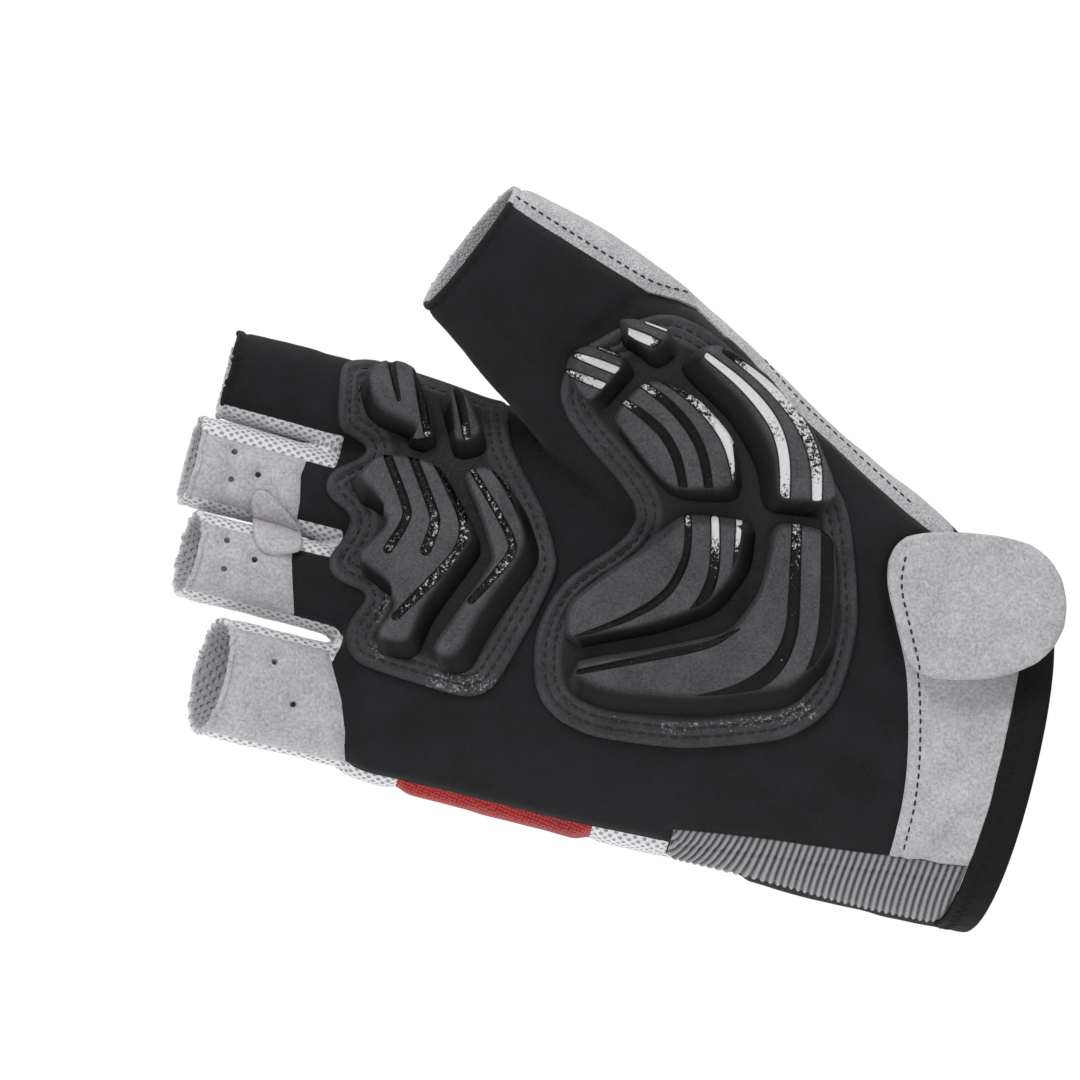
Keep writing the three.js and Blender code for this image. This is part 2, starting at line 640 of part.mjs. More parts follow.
function gussetTool(gap) {
  const places = [placeAt(gussetStarts + gap / gloveLength), 0];
  return sector(onPalm, places, [gussetBackSeam, edgeSeam], gap ? gapAngle(wristBreadth) : 0);
}

// Neoprene over the back of the wrist, a little thicker than the cloth it is sewn to.
function wristBack() {
  const start = -neopreneStarts * gloveLength;
  const tool = (gap) =>
    box(
      new THREE.Vector3(start - gap, wristBackSeam * palmDepth - gap, -far),
      new THREE.Vector3(far, far, far),
    ).subtract(cuffPlug(cuffShare, clothPast, clothPast));
  const thick = skin(neopreneRise).subtract(skin(-clothWall, true)).subtract(gussetTool(seamGap));
  addPiece('wrist_back', largest(thick.intersect(tool(0))), neoprene);
  remaining = remaining.subtract(tool(seamGap));
}

// Suede cuff on the palm side, from the curved seam to the binding.
function cuffFront() {
  const outline = [...cuffSeam, [-0.2, 0.66], [-0.2, -0.5]];
  const tool = (spread) => prism(outline, { spread, back: 3.5 });
  cutPanel('cuff_front', tool(0), tool(seamGap), greySuede);
}

// The back of the hand: mesh, the red band over the knuckles, and mesh over the fingers. They
// lie behind a surface through the edges of the hand and the middles of the fingers.
const edgeRows = [
  { along: 0.0, little: -0.3, index: 0.1 },
  { along: 0.3, little: -0.28, index: 0.1 },
  { along: 0.5, little: -0.26, index: 0.1 },
  { along: 0.69, little: -0.32, index: 0.12 },
  { along: 0.76, little: -0.33, index: 0.1 },
  { along: 0.82, little: -0.45, index: 0.06 },
  { along: 0.92, little: -0.68, index: -0.02 },
  { along: 1.06, little: -0.95, index: -0.1 },
];
const littleEdge = -0.4; // across, where the first column of edgeRows holds
const indexEdge = 0.6; // across, where the second one does
function backPanels() {
  const edge = (gap) => (row, column) => {
    const { along, little, index } = rowAt(edgeRows, row * (edgeRows.length - 1));
    const across = mix(-0.7, 0.95, column);
    const out = mix(little, index, (across - littleEdge) / (indexEdge - littleEdge));
    return new THREE.Vector3(-along * gloveLength, out * palmDepth - gap, across * palmBreadth);
  };
  const behind = (gap) => {
    const back = (row, column) => edge(0)(row, column).setY(2 * palmDepth);
    return sheet(back, edge(gap), edgeRows.length - 1, 1);
  };
  const strips = [
    ['back_fingers', -far, -bandStarts, whiteMesh],
    ['knuckle_band', -bandStarts, -bandEnds, redKnit],
    ['back_hand', -bandEnds, 0, whiteMesh],
  ];
  for (const [name, start, end, material] of strips) {
    const low = Math.max(start * gloveLength, -far);
    const high = end * gloveLength;
    const tool = behind(0).intersect(slice(low + seamGap / 2, high - seamGap / 2));
    addPiece(name, largest(remaining.intersect(tool)), material);
  }
  remaining = remaining.subtract(behind(seamGap));
}

// A layer that follows the cloth, between two heights above it and inside an outline.
function layer(outline, low, high, options) {
  return largest(skin(high).subtract(skin(low)).intersect(prism(outline, options)));
}

function pads() {
  const sheetTop = layerGap + backingWall;
  const blockBottom = sheetTop + layerGap;
  const blockTop = blockBottom + blockHeight;
  const sheetBack = -2; // how far the sheets reach round the edge of the hand
  const blockBack = -4; // how far the blocks do
  const heel = layer(heelBacking, layerGap, sheetTop, { back: sheetBack, round: 5 });
  const knuckle = layer(knuckleBacking, layerGap, sheetTop, { back: sheetBack, round: 3 });
  addPiece('heel_pad_backing', heel, padSheet);
  addPiece('knuckle_pad_backing', knuckle, padSheet);
  for (const [name, outline] of Object.entries(padBlocks)) {
    const block = layer(outline, blockBottom, blockTop, { back: blockBack, round: 3 });
    addPiece(name, block, padFoam);
  }
}

// Rounded suede tab on the heel of the hand, sewn along the cuff seam and free at its end.
function wristTab() {
  const outline = [
    [0.145, 0.176], [0.174, 0.294], [0.198, 0.388], [0.198, 0.478], [0.17, 0.525], [0.07, 0.568],
    [0.016, 0.545], [-0.016, 0.44], [-0.012, 0.32], [0.03, 0.235], [0.09, 0.19],
  ];
  const rise = (along, across) => {
    const curl = 0.5 * Math.max(0, across / palmBreadth - 0.3) * wristDepth;
    return -wristDepth / 2 - tabLift - neopreneRise + curl + along * 0.02;
  };
  const reach = 0.25 * gloveLength;
  const surface = (depth) => (row, column) => {
    const along = mix(-reach, 0.05 * gloveLength, row);
    const across = mix(0.1, 0.65, column) * palmBreadth;
    return new THREE.Vector3(along, rise(along, across) - depth, across);
  };
  const flat = sheet(surface(tabWall), surface(0), 6, 6);
  const clear = skin(layerGap);
  addPiece('wrist_tab', largest(flat.subtract(clear).intersect(prism(outline, { round: 8 }))), greySuede);
}

// Small suede tab in the web between the middle and ring fingers, for pulling the glove off.
function pullTab() {
  const outline = [
    [0.924, 0.215], [0.912, 0.24], [0.888, 0.21], [0.86, 0.162], [0.848, 0.112],
    [0.887, 0.08], [0.903, 0.1], [0.918, 0.165],
  ];
  const solid = layer(outline, layerGap, layerGap + pullTabWall, { round: 2, back: -8 });
  addPiece('pull_tab', solid, greySuede);
}

wristBinding();
fingerSuede();
fourchettes();
ribbedGusset();
wristBack();
thumbBack();
cuffFront();
backPanels();
addPiece('palm_panel', largest(remaining), blackSuede);
pads();
wristTab();
pullTab();

// The scene graph
const glove = new THREE.Group();
glove.name = 'cycling_glove';
for (const { name, solid, material } of pieces) {
  const { vertProperties, triVerts, numProp } = solid.getMesh();
  const geometry = new THREE.BufferGeometry();
  const positions = new Float32Array((vertProperties.length / numProp) * 3);
  for (let corner = 0; corner < positions.length / 3; corner++) {
    for (let axis = 0; axis < 3; axis++) {
      positions[corner * 3 + axis] = vertProperties[corner * numProp + axis];
    }
  }
  geometry.setAttribute('position', new THREE.BufferAttribute(positions, 3));
  geometry.setIndex(Array.from(triVerts));
  geometry.computeVertexNormals();
  const mesh = new THREE.Mesh(geometry, material);
  mesh.name = name;
  glove.add(mesh);
}

export default glove;
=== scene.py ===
import math

import bpy
import numpy as np
from mathutils import Matrix, Vector, noise
from mathutils.bvhtree import BVHTree
from mathutils.kdtree import KDTree


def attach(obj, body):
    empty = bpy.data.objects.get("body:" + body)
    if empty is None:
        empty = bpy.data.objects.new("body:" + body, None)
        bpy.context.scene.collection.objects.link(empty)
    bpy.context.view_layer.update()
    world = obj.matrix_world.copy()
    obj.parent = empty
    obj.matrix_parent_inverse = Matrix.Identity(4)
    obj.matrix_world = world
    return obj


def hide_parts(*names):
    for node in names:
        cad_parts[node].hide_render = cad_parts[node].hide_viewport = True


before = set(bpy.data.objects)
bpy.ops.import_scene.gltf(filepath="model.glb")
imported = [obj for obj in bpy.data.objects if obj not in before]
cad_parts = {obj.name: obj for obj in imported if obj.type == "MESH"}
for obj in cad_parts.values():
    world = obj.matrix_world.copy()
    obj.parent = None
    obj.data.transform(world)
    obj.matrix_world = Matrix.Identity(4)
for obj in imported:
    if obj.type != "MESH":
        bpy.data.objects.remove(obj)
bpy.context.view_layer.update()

# The cloth shell: a right-hand half-finger glove as it stands when worn, before it is cut into
# panels. It is drawn in millimetres: wrist opening at 0, fingers along -X, palm to -Y, thumb
# side to +Z. The sections are those of the CAD model, with the junctions eased as cloth is.
MM = 0.001
GLOVE_LENGTH = 182.0
PALM_BREADTH = 85.0
PALM_DEPTH = 36.0
WRIST_BREADTH = 69.0
WRIST_DEPTH = 48.0
FINGER_WIDTH = 19.5
FINGER_DEPTH = 18.5
THUMB_WIDTH = 31.5
THUMB_DEPTH = 26.0
CLOTH_WALL = 1.4
TAPER_ENDS = 0.45
CUFF_TIP = 0.042
TIP_ENDS = 0.2
PAST_OPENING = 9.0  # the shell is drawn this much too long and then cut at its openings
CELL = 0.8  # size of the shell's triangles
WEB_BLEND = (-1.0, 5.0)  # where the weave turns from the hand's to a finger's

# along, top, bottom, front, back, lean, slant, square
palm_rows = np.array([
    (0.0, 0.5, -0.5, 0.5, 0.5, 0, 0, 2.1),
    (0.066, 0.497, -0.493, 0.485, 0.49, 0, 0, 2.1),
    (0.137, 0.505, -0.481, 0.49, 0.49, 0, 0, 2.15),
    (0.275, 0.546, -0.446, 0.5, 0.5, 0, 0, 2.25),
    (0.44, 0.565, -0.421, 0.52, 0.5, 0.01, 0, 2.4),
    (0.577, 0.582, -0.417, 0.5, 0.46, 0.04, 0.02, 2.5),
    (0.687, 0.594, -0.412, 0.45, 0.41, 0.1, 0.08, 2.5),
    (0.76, 0.592, -0.408, 0.4, 0.34, 0.14, 0.16, 2.5),
    (0.8, 0.58, -0.395, 0.32, 0.25, 0.15, 0.22, 2.4),
    (0.819, 0.56, -0.37, 0.16, 0.12, 0.16, 0.24, 2.2),
])

# along, across, out, width, depth
tube_rows = {
    "index": np.array([
        (0.6, 0.45, 0.05, 0.92, 1.0), (0.74, 0.475, 0.02, 1.02, 1.03),
        (0.87, 0.486, -0.03, 1.02, 1.0), (0.985, 0.49, -0.09, 1.0, 0.98),
    ]),
    "middle": np.array([
        (0.6, 0.24, 0.02, 0.92, 1.0), (0.74, 0.25, -0.03, 1.0, 1.02),
        (0.87, 0.257, -0.13, 1.0, 1.0), (1.0, 0.262, -0.27, 1.0, 0.98),
    ]),
    "ring": np.array([
        (0.6, 0.02, -0.01, 0.92, 1.0), (0.74, 0.028, -0.1, 0.97, 1.0),
        (0.86, 0.034, -0.24, 0.96, 1.0), (0.975, 0.038, -0.42, 0.96, 0.98),
    ]),
    "little": np.array([
        (0.6, -0.235, -0.04, 1.1, 1.0), (0.72, -0.242, -0.14, 1.24, 1.02),
        (0.82, -0.242, -0.32, 1.28, 1.0), (0.915, -0.24, -0.55, 1.28, 0.98),
    ]),
    "thumb": np.array([
        (0.04, 0.14, -0.02, 1.25, 1.45), (0.192, 0.306, -0.12, 1.54, 1.54),
        (0.33, 0.47, -0.19, 1.42, 1.46), (0.467, 0.629, -0.27, 1.45, 1.31),
        (0.577, 0.765, -0.37, 1.37, 1.17), (0.663, 0.856, -0.48, 1.22, 1.08),
        (0.747, 0.934, -0.56, 1.0, 1.0),
    ]),
}
tube_names = list(tube_rows)
# The fingers are held apart while the shell is made, so that they don't grow together.
spread_by = {"index": 2.6, "middle": 0.85, "ring": -0.85, "little": -2.6, "thumb": 0.0}
# Folds across the palm side of the thumb: place on its table, width and depth.
thumb_folds = [(3.85, 0.28, 1.7), (4.6, 0.4, -0.5)]


def row_at(table, place):
    """Every column of a table at places between its rows, on a smooth curve."""
    last = len(table) - 1
    first = np.clip(np.floor(place).astype(int), 0, last - 1)
    share = (place - first)[..., None]
    a, b, c, d = (table[np.clip(first + step, 0, last)] for step in (-1, 0, 1, 2))
    linear = 0.5 * (c - a) * share
    square = (a - 2.5 * b + 2 * c - 0.5 * d) * share**2
    cube = (0.5 * (d - a) + 1.5 * (b - c)) * share**3
    return b + linear + square + cube


def bent(value, square):
    """Sine and cosine bent towards a rounded box."""
    return np.sign(value) * np.abs(value) ** (2 / square)


def smooth(low, high, value):
    """A soft step from 0 at low to 1 at high."""
    share = np.clip((value - low) / (high - low), 0, 1)
    return share * share * (3 - 2 * share)


def hill(value, middle, width):
    """A soft hill, 1 high at its middle."""
    return np.exp(-(((value - middle) / width) ** 2))


def unit(vectors):
    """The same directions, 1 long."""
    return vectors / np.maximum(np.linalg.norm(vectors, axis=-1, keepdims=True), 1e-9)


def palm_section(place):
    """The hand's section at a place: the columns of its table, its breadth and its depth."""
    columns = np.moveaxis(row_at(palm_rows, place), -1, 0)
    grown = np.minimum(columns[0] / TAPER_ENDS, 1)
    breadth = WRIST_BREADTH + (PALM_BREADTH - WRIST_BREADTH) * grown
    depth = WRIST_DEPTH + (PALM_DEPTH - WRIST_DEPTH) * grown
    return columns, breadth, depth


def palm_point(place, angle, grow=0.0):
    """Points of the hand's skin: 0 degrees faces forward, 90 the thumb side, 180 back."""
    place, angle = np.broadcast_arrays(place, np.radians(angle))
    (along, top, bottom, front, back, lean, slant, square), breadth, depth = palm_section(place)
    middle = breadth * (top + bottom) / 2
    half = breadth * (top - bottom) / 2 + grow
    across = bent(np.sin(angle), square) * half
    facing = np.where(np.cos(angle) > 0, front, back)
    out = -bent(np.cos(angle), square) * (depth * facing + grow)
    tip = -out / WRIST_DEPTH * CUFF_TIP * np.maximum(0, 1 - along / TIP_ENDS)
    x = (tip - along) * GLOVE_LENGTH - slant * across
    return np.stack([x, out + lean * across, middle + across], -1)


def tube_line(name, place):
    """Centre, direction, forward side, thumb side and table row along a finger or the thumb."""
    table = tube_rows[name]
    scale = np.array([-GLOVE_LENGTH, PALM_BREADTH, PALM_DEPTH])
    last = len(table) - 1
    row = row_at(table, place)
    ahead = row_at(table, np.minimum(place + 0.05, last))
    behind = row_at(table, np.maximum(place - 0.05, 0))
    centre, run = ((value[..., :3] * scale)[..., [0, 2, 1]] for value in (row, ahead - behind))
    run = unit(run)
    forward = unit(np.array([0.0, -1.0, 0.0]) + run * run[..., 1:2])
    return centre, run, forward, np.cross(run, forward), row


def tube_size(name):
    """Width, depth and squareness of a tube's section."""
    if name == "thumb":
        return THUMB_WIDTH, THUMB_DEPTH, 2.15
    return FINGER_WIDTH, FINGER_DEPTH, 2.2


def tube_rings(name, places, angles):
    """Rings of a finger's or the thumb's skin, and four more past its open end."""
    centre, run, forward, sideways, row = tube_line(name, places[:, None] + 0 * angles)
    width, depth, square = tube_size(name)
    turn = np.radians(angles)
    sunk = 0 * centre[..., 0]
    if name == "thumb":
        for at, wide, deep in thumb_folds:
            sunk += deep * hill(places[:, None], at, wide)
    half_depth = row[..., 4] * depth / 2 - np.where(np.cos(turn) > 0, sunk, 0)
    half_width = row[..., 3] * width / 2
    rings = centre + forward * (bent(np.cos(turn), square) * half_depth)[..., None]
    rings = rings + sideways * (bent(np.sin(turn), square) * half_width)[..., None]
    past = [rings[-1] + run[-1] * step for step in np.linspace(0, PAST_OPENING, 5)[1:]]
    return np.concatenate([rings, np.array(past)])


def web_edge(across):
    """How far along -X the web between the fingers reaches."""
    last = palm_rows[-1]
    off_centre = across / PALM_BREADTH - (last[1] + last[2]) / 2
    return -last[0] * GLOVE_LENGTH - last[6] * off_centre * PALM_BREADTH


def spread_of(name, x):
    """How far a finger is held to the side at each x, growing from the web."""
    across = tube_rows[name][-1, 1] * PALM_BREADTH
    return spread_by[name] * smooth(-2.0, 4.5, web_edge(across) - x)


def loft(rings):
    """A closed skin through a row of rings: its points and faces."""
    rows, sides, _ = rings.shape
    index = np.arange(rows * sides).reshape(rows, sides)
    after = np.roll(index, -1, 1)
    faces = np.stack([index[:-1], after[:-1], after[1:], index[1:]], -1).reshape(-1, 4).tolist()
    return rings.reshape(-1, 3), faces + [index[0][::-1].tolist(), index[-1].tolist()]


def make_shell():
    """The eased shell as points and triangles, from one mesh over the palm and all the tubes."""
    around = np.linspace(0, 360, 160, endpoint=False)
    palm = palm_point(np.linspace(0, len(palm_rows) - 1, 170)[:, None], around[None])
    mouth = [palm[0] + np.array([step, 0, 0]) for step in (PAST_OPENING, PAST_OPENING / 2)]
    lofts = [loft(np.concatenate([np.array(mouth), palm]))]
    for name, table in tube_rows.items():
        places = np.linspace(0, len(table) - 1, 120 if name == "thumb" else 60)
        rings = tube_rings(name, places, np.linspace(0, 360, 90, endpoint=False)[None])
        rings[..., 2] += spread_of(name, rings[..., 0])
        lofts.append(loft(rings))
    points, faces = [], []
    for part_points, part_faces in lofts:
        start = len(points)
        points += (part_points * MM).tolist()
        faces += [[corner + start for corner in face] for face in part_faces]
    mesh = bpy.data.meshes.new("shell")
    mesh.from_pydata(points, [], faces)
    shell = bpy.data.objects.new("shell", mesh)
    bpy.context.scene.collection.objects.link(shell)
    remesh = shell.modifiers.new("one skin", "REMESH")
    remesh.mode = "VOXEL"
    remesh.voxel_size = CELL * MM
    made = shell.evaluated_get(bpy.context.evaluated_depsgraph_get()).to_mesh()
    made.calc_loop_triangles()
    corners = np.zeros(len(made.vertices) * 3, np.float32)
    made.vertices.foreach_get("co", corners)
    triangles = np.zeros(len(made.loop_triangles) * 3, np.int32)
    made.loop_triangles.foreach_get("vertices", triangles)
    shell.to_mesh_clear()
    bpy.data.objects.remove(shell)
    bpy.data.meshes.remove(mesh)
    return corners.reshape(-1, 3).astype(float) / MM, triangles.reshape(-1, 3)


def edges_of(faces):
    """Every edge once, as pairs of corners."""
    pairs = np.sort(np.concatenate([faces[:, [0, 1]], faces[:, [1, 2]], faces[:, [2, 0]]]), axis=1)
    return np.unique(pairs, axis=0)


def around_mean(values, edges, count):
    """The mean of each point's neighbours."""
    total = np.zeros((count, values.shape[1]))
    degree = np.bincount(edges.ravel(), minlength=count)[:, None]
    for column in range(values.shape[1]):
        total[:, column] += np.bincount(edges[:, 0], values[edges[:, 1], column], count)
        total[:, column] += np.bincount(edges[:, 1], values[edges[:, 0], column], count)
    return total / np.maximum(degree, 1)


def normals_of(points, faces):
    """The way that each point faces, weighted by the size of its faces."""
    a, b, c = points[faces[:, 0]], points[faces[:, 1]], points[faces[:, 2]]
    face_normals = np.cross(b - a, c - a)
    total = np.zeros_like(points)
    for corner in range(3):
        for axis in range(3):
            total[:, axis] += np.bincount(faces[:, corner], face_normals[:, axis], len(points))
    return unit(total)


BATCH = 8000  # points worked out at a time


def tube_places(name, points):
    """Where points lie on a finger or the thumb: place, angle, share of its radius, past end."""
    table = tube_rows[name]
    last = len(table) - 1
    width, depth, square = tube_size(name)
    samples = np.linspace(0, last, 49)
    centres = tube_line(name, samples)[0]
    place = np.zeros(len(points))
    for start in range(0, len(points), BATCH):
        part = points[start : start + BATCH]
        gaps = ((part[:, None] - centres[None]) ** 2).sum(-1)
        place[start : start + BATCH] = samples[gaps.argmin(1)]
    centre, run, forward, sideways, row = tube_line(name, place)
    offset = ((points - centre) * run).sum(-1)
    pace = np.linalg.norm(centres[1:] - centres[:-1], axis=1).mean() / samples[1]
    place = np.clip(place + np.clip(offset / pace, -0.5, 0.5) * samples[1] * 2, 0, last)
    centre, run, forward, sideways, row = tube_line(name, place)
    past = ((points - centre) * run).sum(-1)
    side = ((points - centre) * sideways).sum(-1) / (row[:, 3] * width / 2)
    front = ((points - centre) * forward).sum(-1) / (row[:, 4] * depth / 2)
    radius = (np.abs(side) ** square + np.abs(front) ** square) ** (1 / square)
    raised = square / 2
    sine, cosine = np.sign(side) * np.abs(side) ** raised, np.sign(front) * np.abs(front) ** raised
    angle = np.degrees(np.arctan2(sine, cosine)) % 360
    return place, angle, radius, np.where(place > last - 0.01, past, -20.0)


SHARP = 12  # how sharply one finger's spread gives way to the next one's
EASED_FROM = (-128, -120)  # the fingers and the webs between them keep their creases
points, faces = make_shell()
edges = edges_of(faces)
closeness = []
for name in tube_names:
    moved = points.copy()
    moved[:, 2] -= spread_of(name, points[:, 0])
    closeness.append(tube_places(name, moved)[2])
closeness = np.array(closeness)
own_tube = closeness.argmin(0)
weights = np.exp(-SHARP * (closeness - closeness.min(0)))
weights /= weights.sum(0)
for index, name in enumerate(tube_names):
    points[:, 2] -= weights[index] * spread_of(name, points[:, 0])
# Smoothing steps, in and out by turns, keep the shell from shrinking.
for pull in (0.55, -0.57) * 8:
    points += pull * (around_mean(points, edges, len(points)) - points)
# Cloth doesn't follow the crease between thumb and palm: it spans it.
eased = points.copy()
for step in range(40):
    eased += 0.6 * (around_mean(eased, edges, len(points)) - eased)
shell_normals = normals_of(points, faces)
outwards = ((eased - points) * shell_normals).sum(-1)
by_thumb = smooth(*EASED_FROM, points[:, 0])
points += shell_normals * (np.maximum(outwards, 0) * by_thumb)[:, None]
shell_normals = normals_of(points, faces)

# Where each point of the shell lies, in the terms that the seams are drawn in.
x, y, z = points.T
tube_at = {name: tube_places(name, points) for name in tube_names}
belongs = {name: own_tube == index for index, name in enumerate(tube_names)}
tip_pull = CUFF_TIP * GLOVE_LENGTH / WRIST_DEPTH
from_wrist = -(x + tip_pull * y) / (GLOVE_LENGTH - tip_pull * y / TIP_ENDS) * GLOVE_LENGTH


def palm_angles(points):
    """The angle round the hand of each point, in degrees."""
    x, y, z = points.T
    along = np.clip(-x / GLOVE_LENGTH, 0, 0.7)
    samples = np.linspace(0, len(palm_rows) - 1, 300)
    sampled = row_at(palm_rows, samples)[:, 0]
    for _ in range(3):
        place = np.interp(along, sampled, samples)
        (along, top, bottom, front, back, lean, slant, square), breadth, depth = palm_section(place)
        across = z - breadth * (top + bottom) / 2
        out = y - lean * across
        tip = -out / WRIST_DEPTH * CUFF_TIP * np.maximum(0, 1 - along / TIP_ENDS)
        along = np.clip(tip - (x + slant * across) / GLOVE_LENGTH, 0, 0.7)
    side = across / (breadth * (top - bottom) / 2)
    facing = -out / (depth * np.where(out < 0, front, back))
    sine = np.sign(side) * np.abs(side) ** (square / 2)
    cosine = np.sign(facing) * np.abs(facing) ** (square / 2)
    return np.degrees(np.arctan2(sine, cosine)) % 360, along, square


def run_along(line):
    """How far along a line each of its points lies."""
    return np.concatenate([[0], np.cumsum(np.linalg.norm(np.diff(line, axis=0), axis=1))])


# The weave runs along the hand and round it, and on the fingers it turns to run round each.
palm_angle, palm_along, palm_square = palm_angles(points)
degrees = np.arange(361.0)
arc = run_along(palm_point(np.full(361, 5.0), degrees))
weave = np.stack([x, np.interp(palm_angle, degrees, arc), 0 * x], -1)
for name in tube_names[:-1]:
    on_tube = belongs[name]
    turn = np.radians(tube_at[name][1])
    past_web = web_edge(tube_rows[name][-1, 1] * PALM_BREADTH) - x
    round_tube = turn * FINGER_WIDTH / 2
    root = on_tube & (np.abs(past_web) < 3) & (np.cos(turn) < -0.98)
    round_tube += (weave[root, 1] - round_tube[root]).mean()
    behind = smooth(-0.2, 0.4, -np.cos(turn))
    if name == "little":
        behind[turn > np.pi] = 1
    share = (1 - behind * smooth(*WEB_BLEND[::-1], past_web))[on_tube]
    weave[on_tube, 1] += share * (round_tube - weave[:, 1])[on_tube]


def outline_distance(places, outline):
    """How far places in the X-Z plane lie inside a closed outline, negative outside."""
    ahead = np.roll(outline, -1, 0)
    run = ahead - outline
    result = np.zeros(len(places))
    for start in range(0, len(places), BATCH):
        part = places[start : start + BATCH, None]
        share = ((part - outline) * run).sum(-1) / (run * run).sum(-1)
        gaps = part - (outline + run * np.clip(share, 0, 1)[..., None])
        distance = np.sqrt((gaps**2).sum(-1).min(1))
        rises = (outline[:, 1] > part[..., 1]) != (ahead[:, 1] > part[..., 1])
        height = np.where(run[:, 1] == 0, 1e-9, run[:, 1])
        crossing = outline[:, 0] + (part[..., 1] - outline[:, 1]) / height * run[:, 0]
        odd = (rises & (part[..., 0] < crossing)).sum(1) % 2 == 1
        result[start : start + BATCH] = np.where(odd, distance, -distance)
    return result


def outline_of(corners):
    """Shares of the glove's length and the palm's breadth as X and Z."""
    return np.array(corners) * np.array([-GLOVE_LENGTH, PALM_BREADTH])


def curved(line, passes=3):
    """A line of points with its corners cut round and its ends kept."""
    for _ in range(passes):
        inner = np.stack([line[:-1] * 0.75 + line[1:] * 0.25, line[:-1] * 0.25 + line[1:] * 0.75], 1)
        line = np.concatenate([line[:1], inner.reshape(-1, line.shape[1])[1:-1], line[-1:]])
    return line


SNAP = 0.06  # a corner this near a cut is put on it


def split(part, field):
    """Cuts a part of the shell where a field is zero: what is above zero, and the rest."""
    points, faces, data = part
    value = np.where(np.abs(field) < SNAP, 0.0, field)
    sign = np.sign(value).astype(int)[faces]
    mixed = (sign.max(1) > 0) & (sign.min(1) < 0)
    kept = [tuple(face) for face in faces[~mixed & (sign.max(1) > 0)]]
    dropped = [tuple(face) for face in faces[~mixed & (sign.max(1) <= 0)]]
    new_rows, at_edge = [], {}

    def crossing(a, b):
        key = (min(a, b), max(a, b))
        if key not in at_edge:
            at_edge[key] = len(points) + len(new_rows)
            share = value[key[0]] / (value[key[0]] - value[key[1]])
            new_rows.append((key[0], key[1], share))
        return at_edge[key]

    for face in faces[mixed]:
        signs = [int(np.sign(value[corner])) for corner in face]
        for turn in range(3):
            a, b, c = (int(face[(turn + step) % 3]) for step in range(3))
            sa, sb, sc = (signs[(turn + step) % 3] for step in range(3))
            if sb == 0 and sa * sc < 0:
                middle = crossing(c, a)
                (kept if sa > 0 else dropped).append((a, b, middle))
                (kept if sc > 0 else dropped).append((b, c, middle))
                break
            if sa != 0 and sb == -sa and sc == -sa:
                first, second = crossing(a, b), crossing(c, a)
                (kept if sa > 0 else dropped).append((a, first, second))
                other = dropped if sa > 0 else kept
                other += [(first, b, c), (first, c, second)]
                break
    if new_rows:
        start, end, share = (np.array(column) for column in zip(*new_rows))
        share = share[:, None]
        points = np.concatenate([points, points[start] * (1 - share) + points[end] * share])
        data = np.concatenate([data, data[start] * (1 - share) + data[end] * share])

    def packed(chosen):
        chosen = np.array(chosen, int).reshape(-1, 3)
        used, places = np.unique(chosen, return_inverse=True)
        return points[used], places.reshape(-1, 3), data[used]

    return packed(kept), packed(dropped)


def bodies(part):
    """Which connected body each face belongs to, and how many faces each body has."""
    label = np.arange(len(part[0]))
    links = edges_of(part[1])
    while True:
        lowest = label.copy()
        np.minimum.at(lowest, links[:, 0], label[links[:, 1]])
        np.minimum.at(lowest, links[:, 1], label[links[:, 0]])
        lowest = lowest[lowest]
        if (lowest == label).all():
            break
        label = lowest
    return label[part[1][:, 0]]


def largest_body(part):
    """The part without the scraps that cutting leaves."""
    body = bodies(part)
    chosen = part[1][body == np.bincount(body).argmax()]
    used, places = np.unique(chosen, return_inverse=True)
    return part[0][used], places.reshape(-1, 3), part[2][used]


# Fields that the seams are cut along, in millimetres, positive inside the panel.
fields = {}
BINDING_WIDTH = 6.4
fields["wrist opening"] = from_wrist - 1.2
open_end = np.full(len(points), 20.0)
for name in tube_names:
    open_end[belongs[name]] = -tube_at[name][3][belongs[name]]
fields["open ends"] = open_end

suede_outlines = {
    "middle": [(0.868, 0.42), (0.874, 0.29), (0.868, 0.23), (0.864, 0.05), (1.1, 0.05), (1.1, 0.42)],
    "ring": [(0.868, 0.2), (0.86, 0.09), (0.847, -0.01), (0.832, -0.15), (1.1, -0.15), (1.1, 0.2)],
    "little": [
        (0.805, -0.06), (0.785, -0.14), (0.765, -0.22), (0.752, -0.3), (0.742, -0.42),
        (1.1, -0.42), (1.1, -0.06),
    ],
}
suede_sides = {"middle": (-50, 40), "ring": (-52, 52), "little": (-68, 66)}


def between(name, low, high):
    """How far inside two angles of a finger or the thumb each point lies, in millimetres."""
    place, angle, radius, past = tube_at[name]
    half = tube_size(name)[0] / 2
    middle, reach = (low + high) / 2, (high - low) / 2
    off = np.abs((angle - middle + 180) % 360 - 180)
    return np.where(belongs[name], np.radians(reach - off) * half, -6.0)


for name, sides in suede_sides.items():
    within = outline_distance(points[:, [0, 2]], outline_of(suede_outlines[name]))
    fields[name + " suede"] = np.minimum(between(name, *sides), within)
STRIP_PAST_WEB = 2.2  # how far the strips between the fingers run past the web
STRIP_BRIDGE = 2.6  # half their width where they cross it
facing_sides = {
    "index_middle": ("index", (232, 318), "middle", (40, 128), 0.374),
    "middle_ring": ("middle", (232, 310), "ring", (52, 128), 0.148),
    "ring_little": ("ring", (232, 308), "little", (66, 128), -0.1),
}
for pair, (upper, upper_side, lower, lower_side, across) in facing_sides.items():
    edge = web_edge(across * PALM_BREADTH) + STRIP_PAST_WEB
    bridge = STRIP_BRIDGE - np.abs(z - across * PALM_BREADTH)
    strips = np.maximum(np.maximum(between(upper, *upper_side), between(lower, *lower_side)), bridge)
    fields[pair] = np.minimum(strips, edge - x)

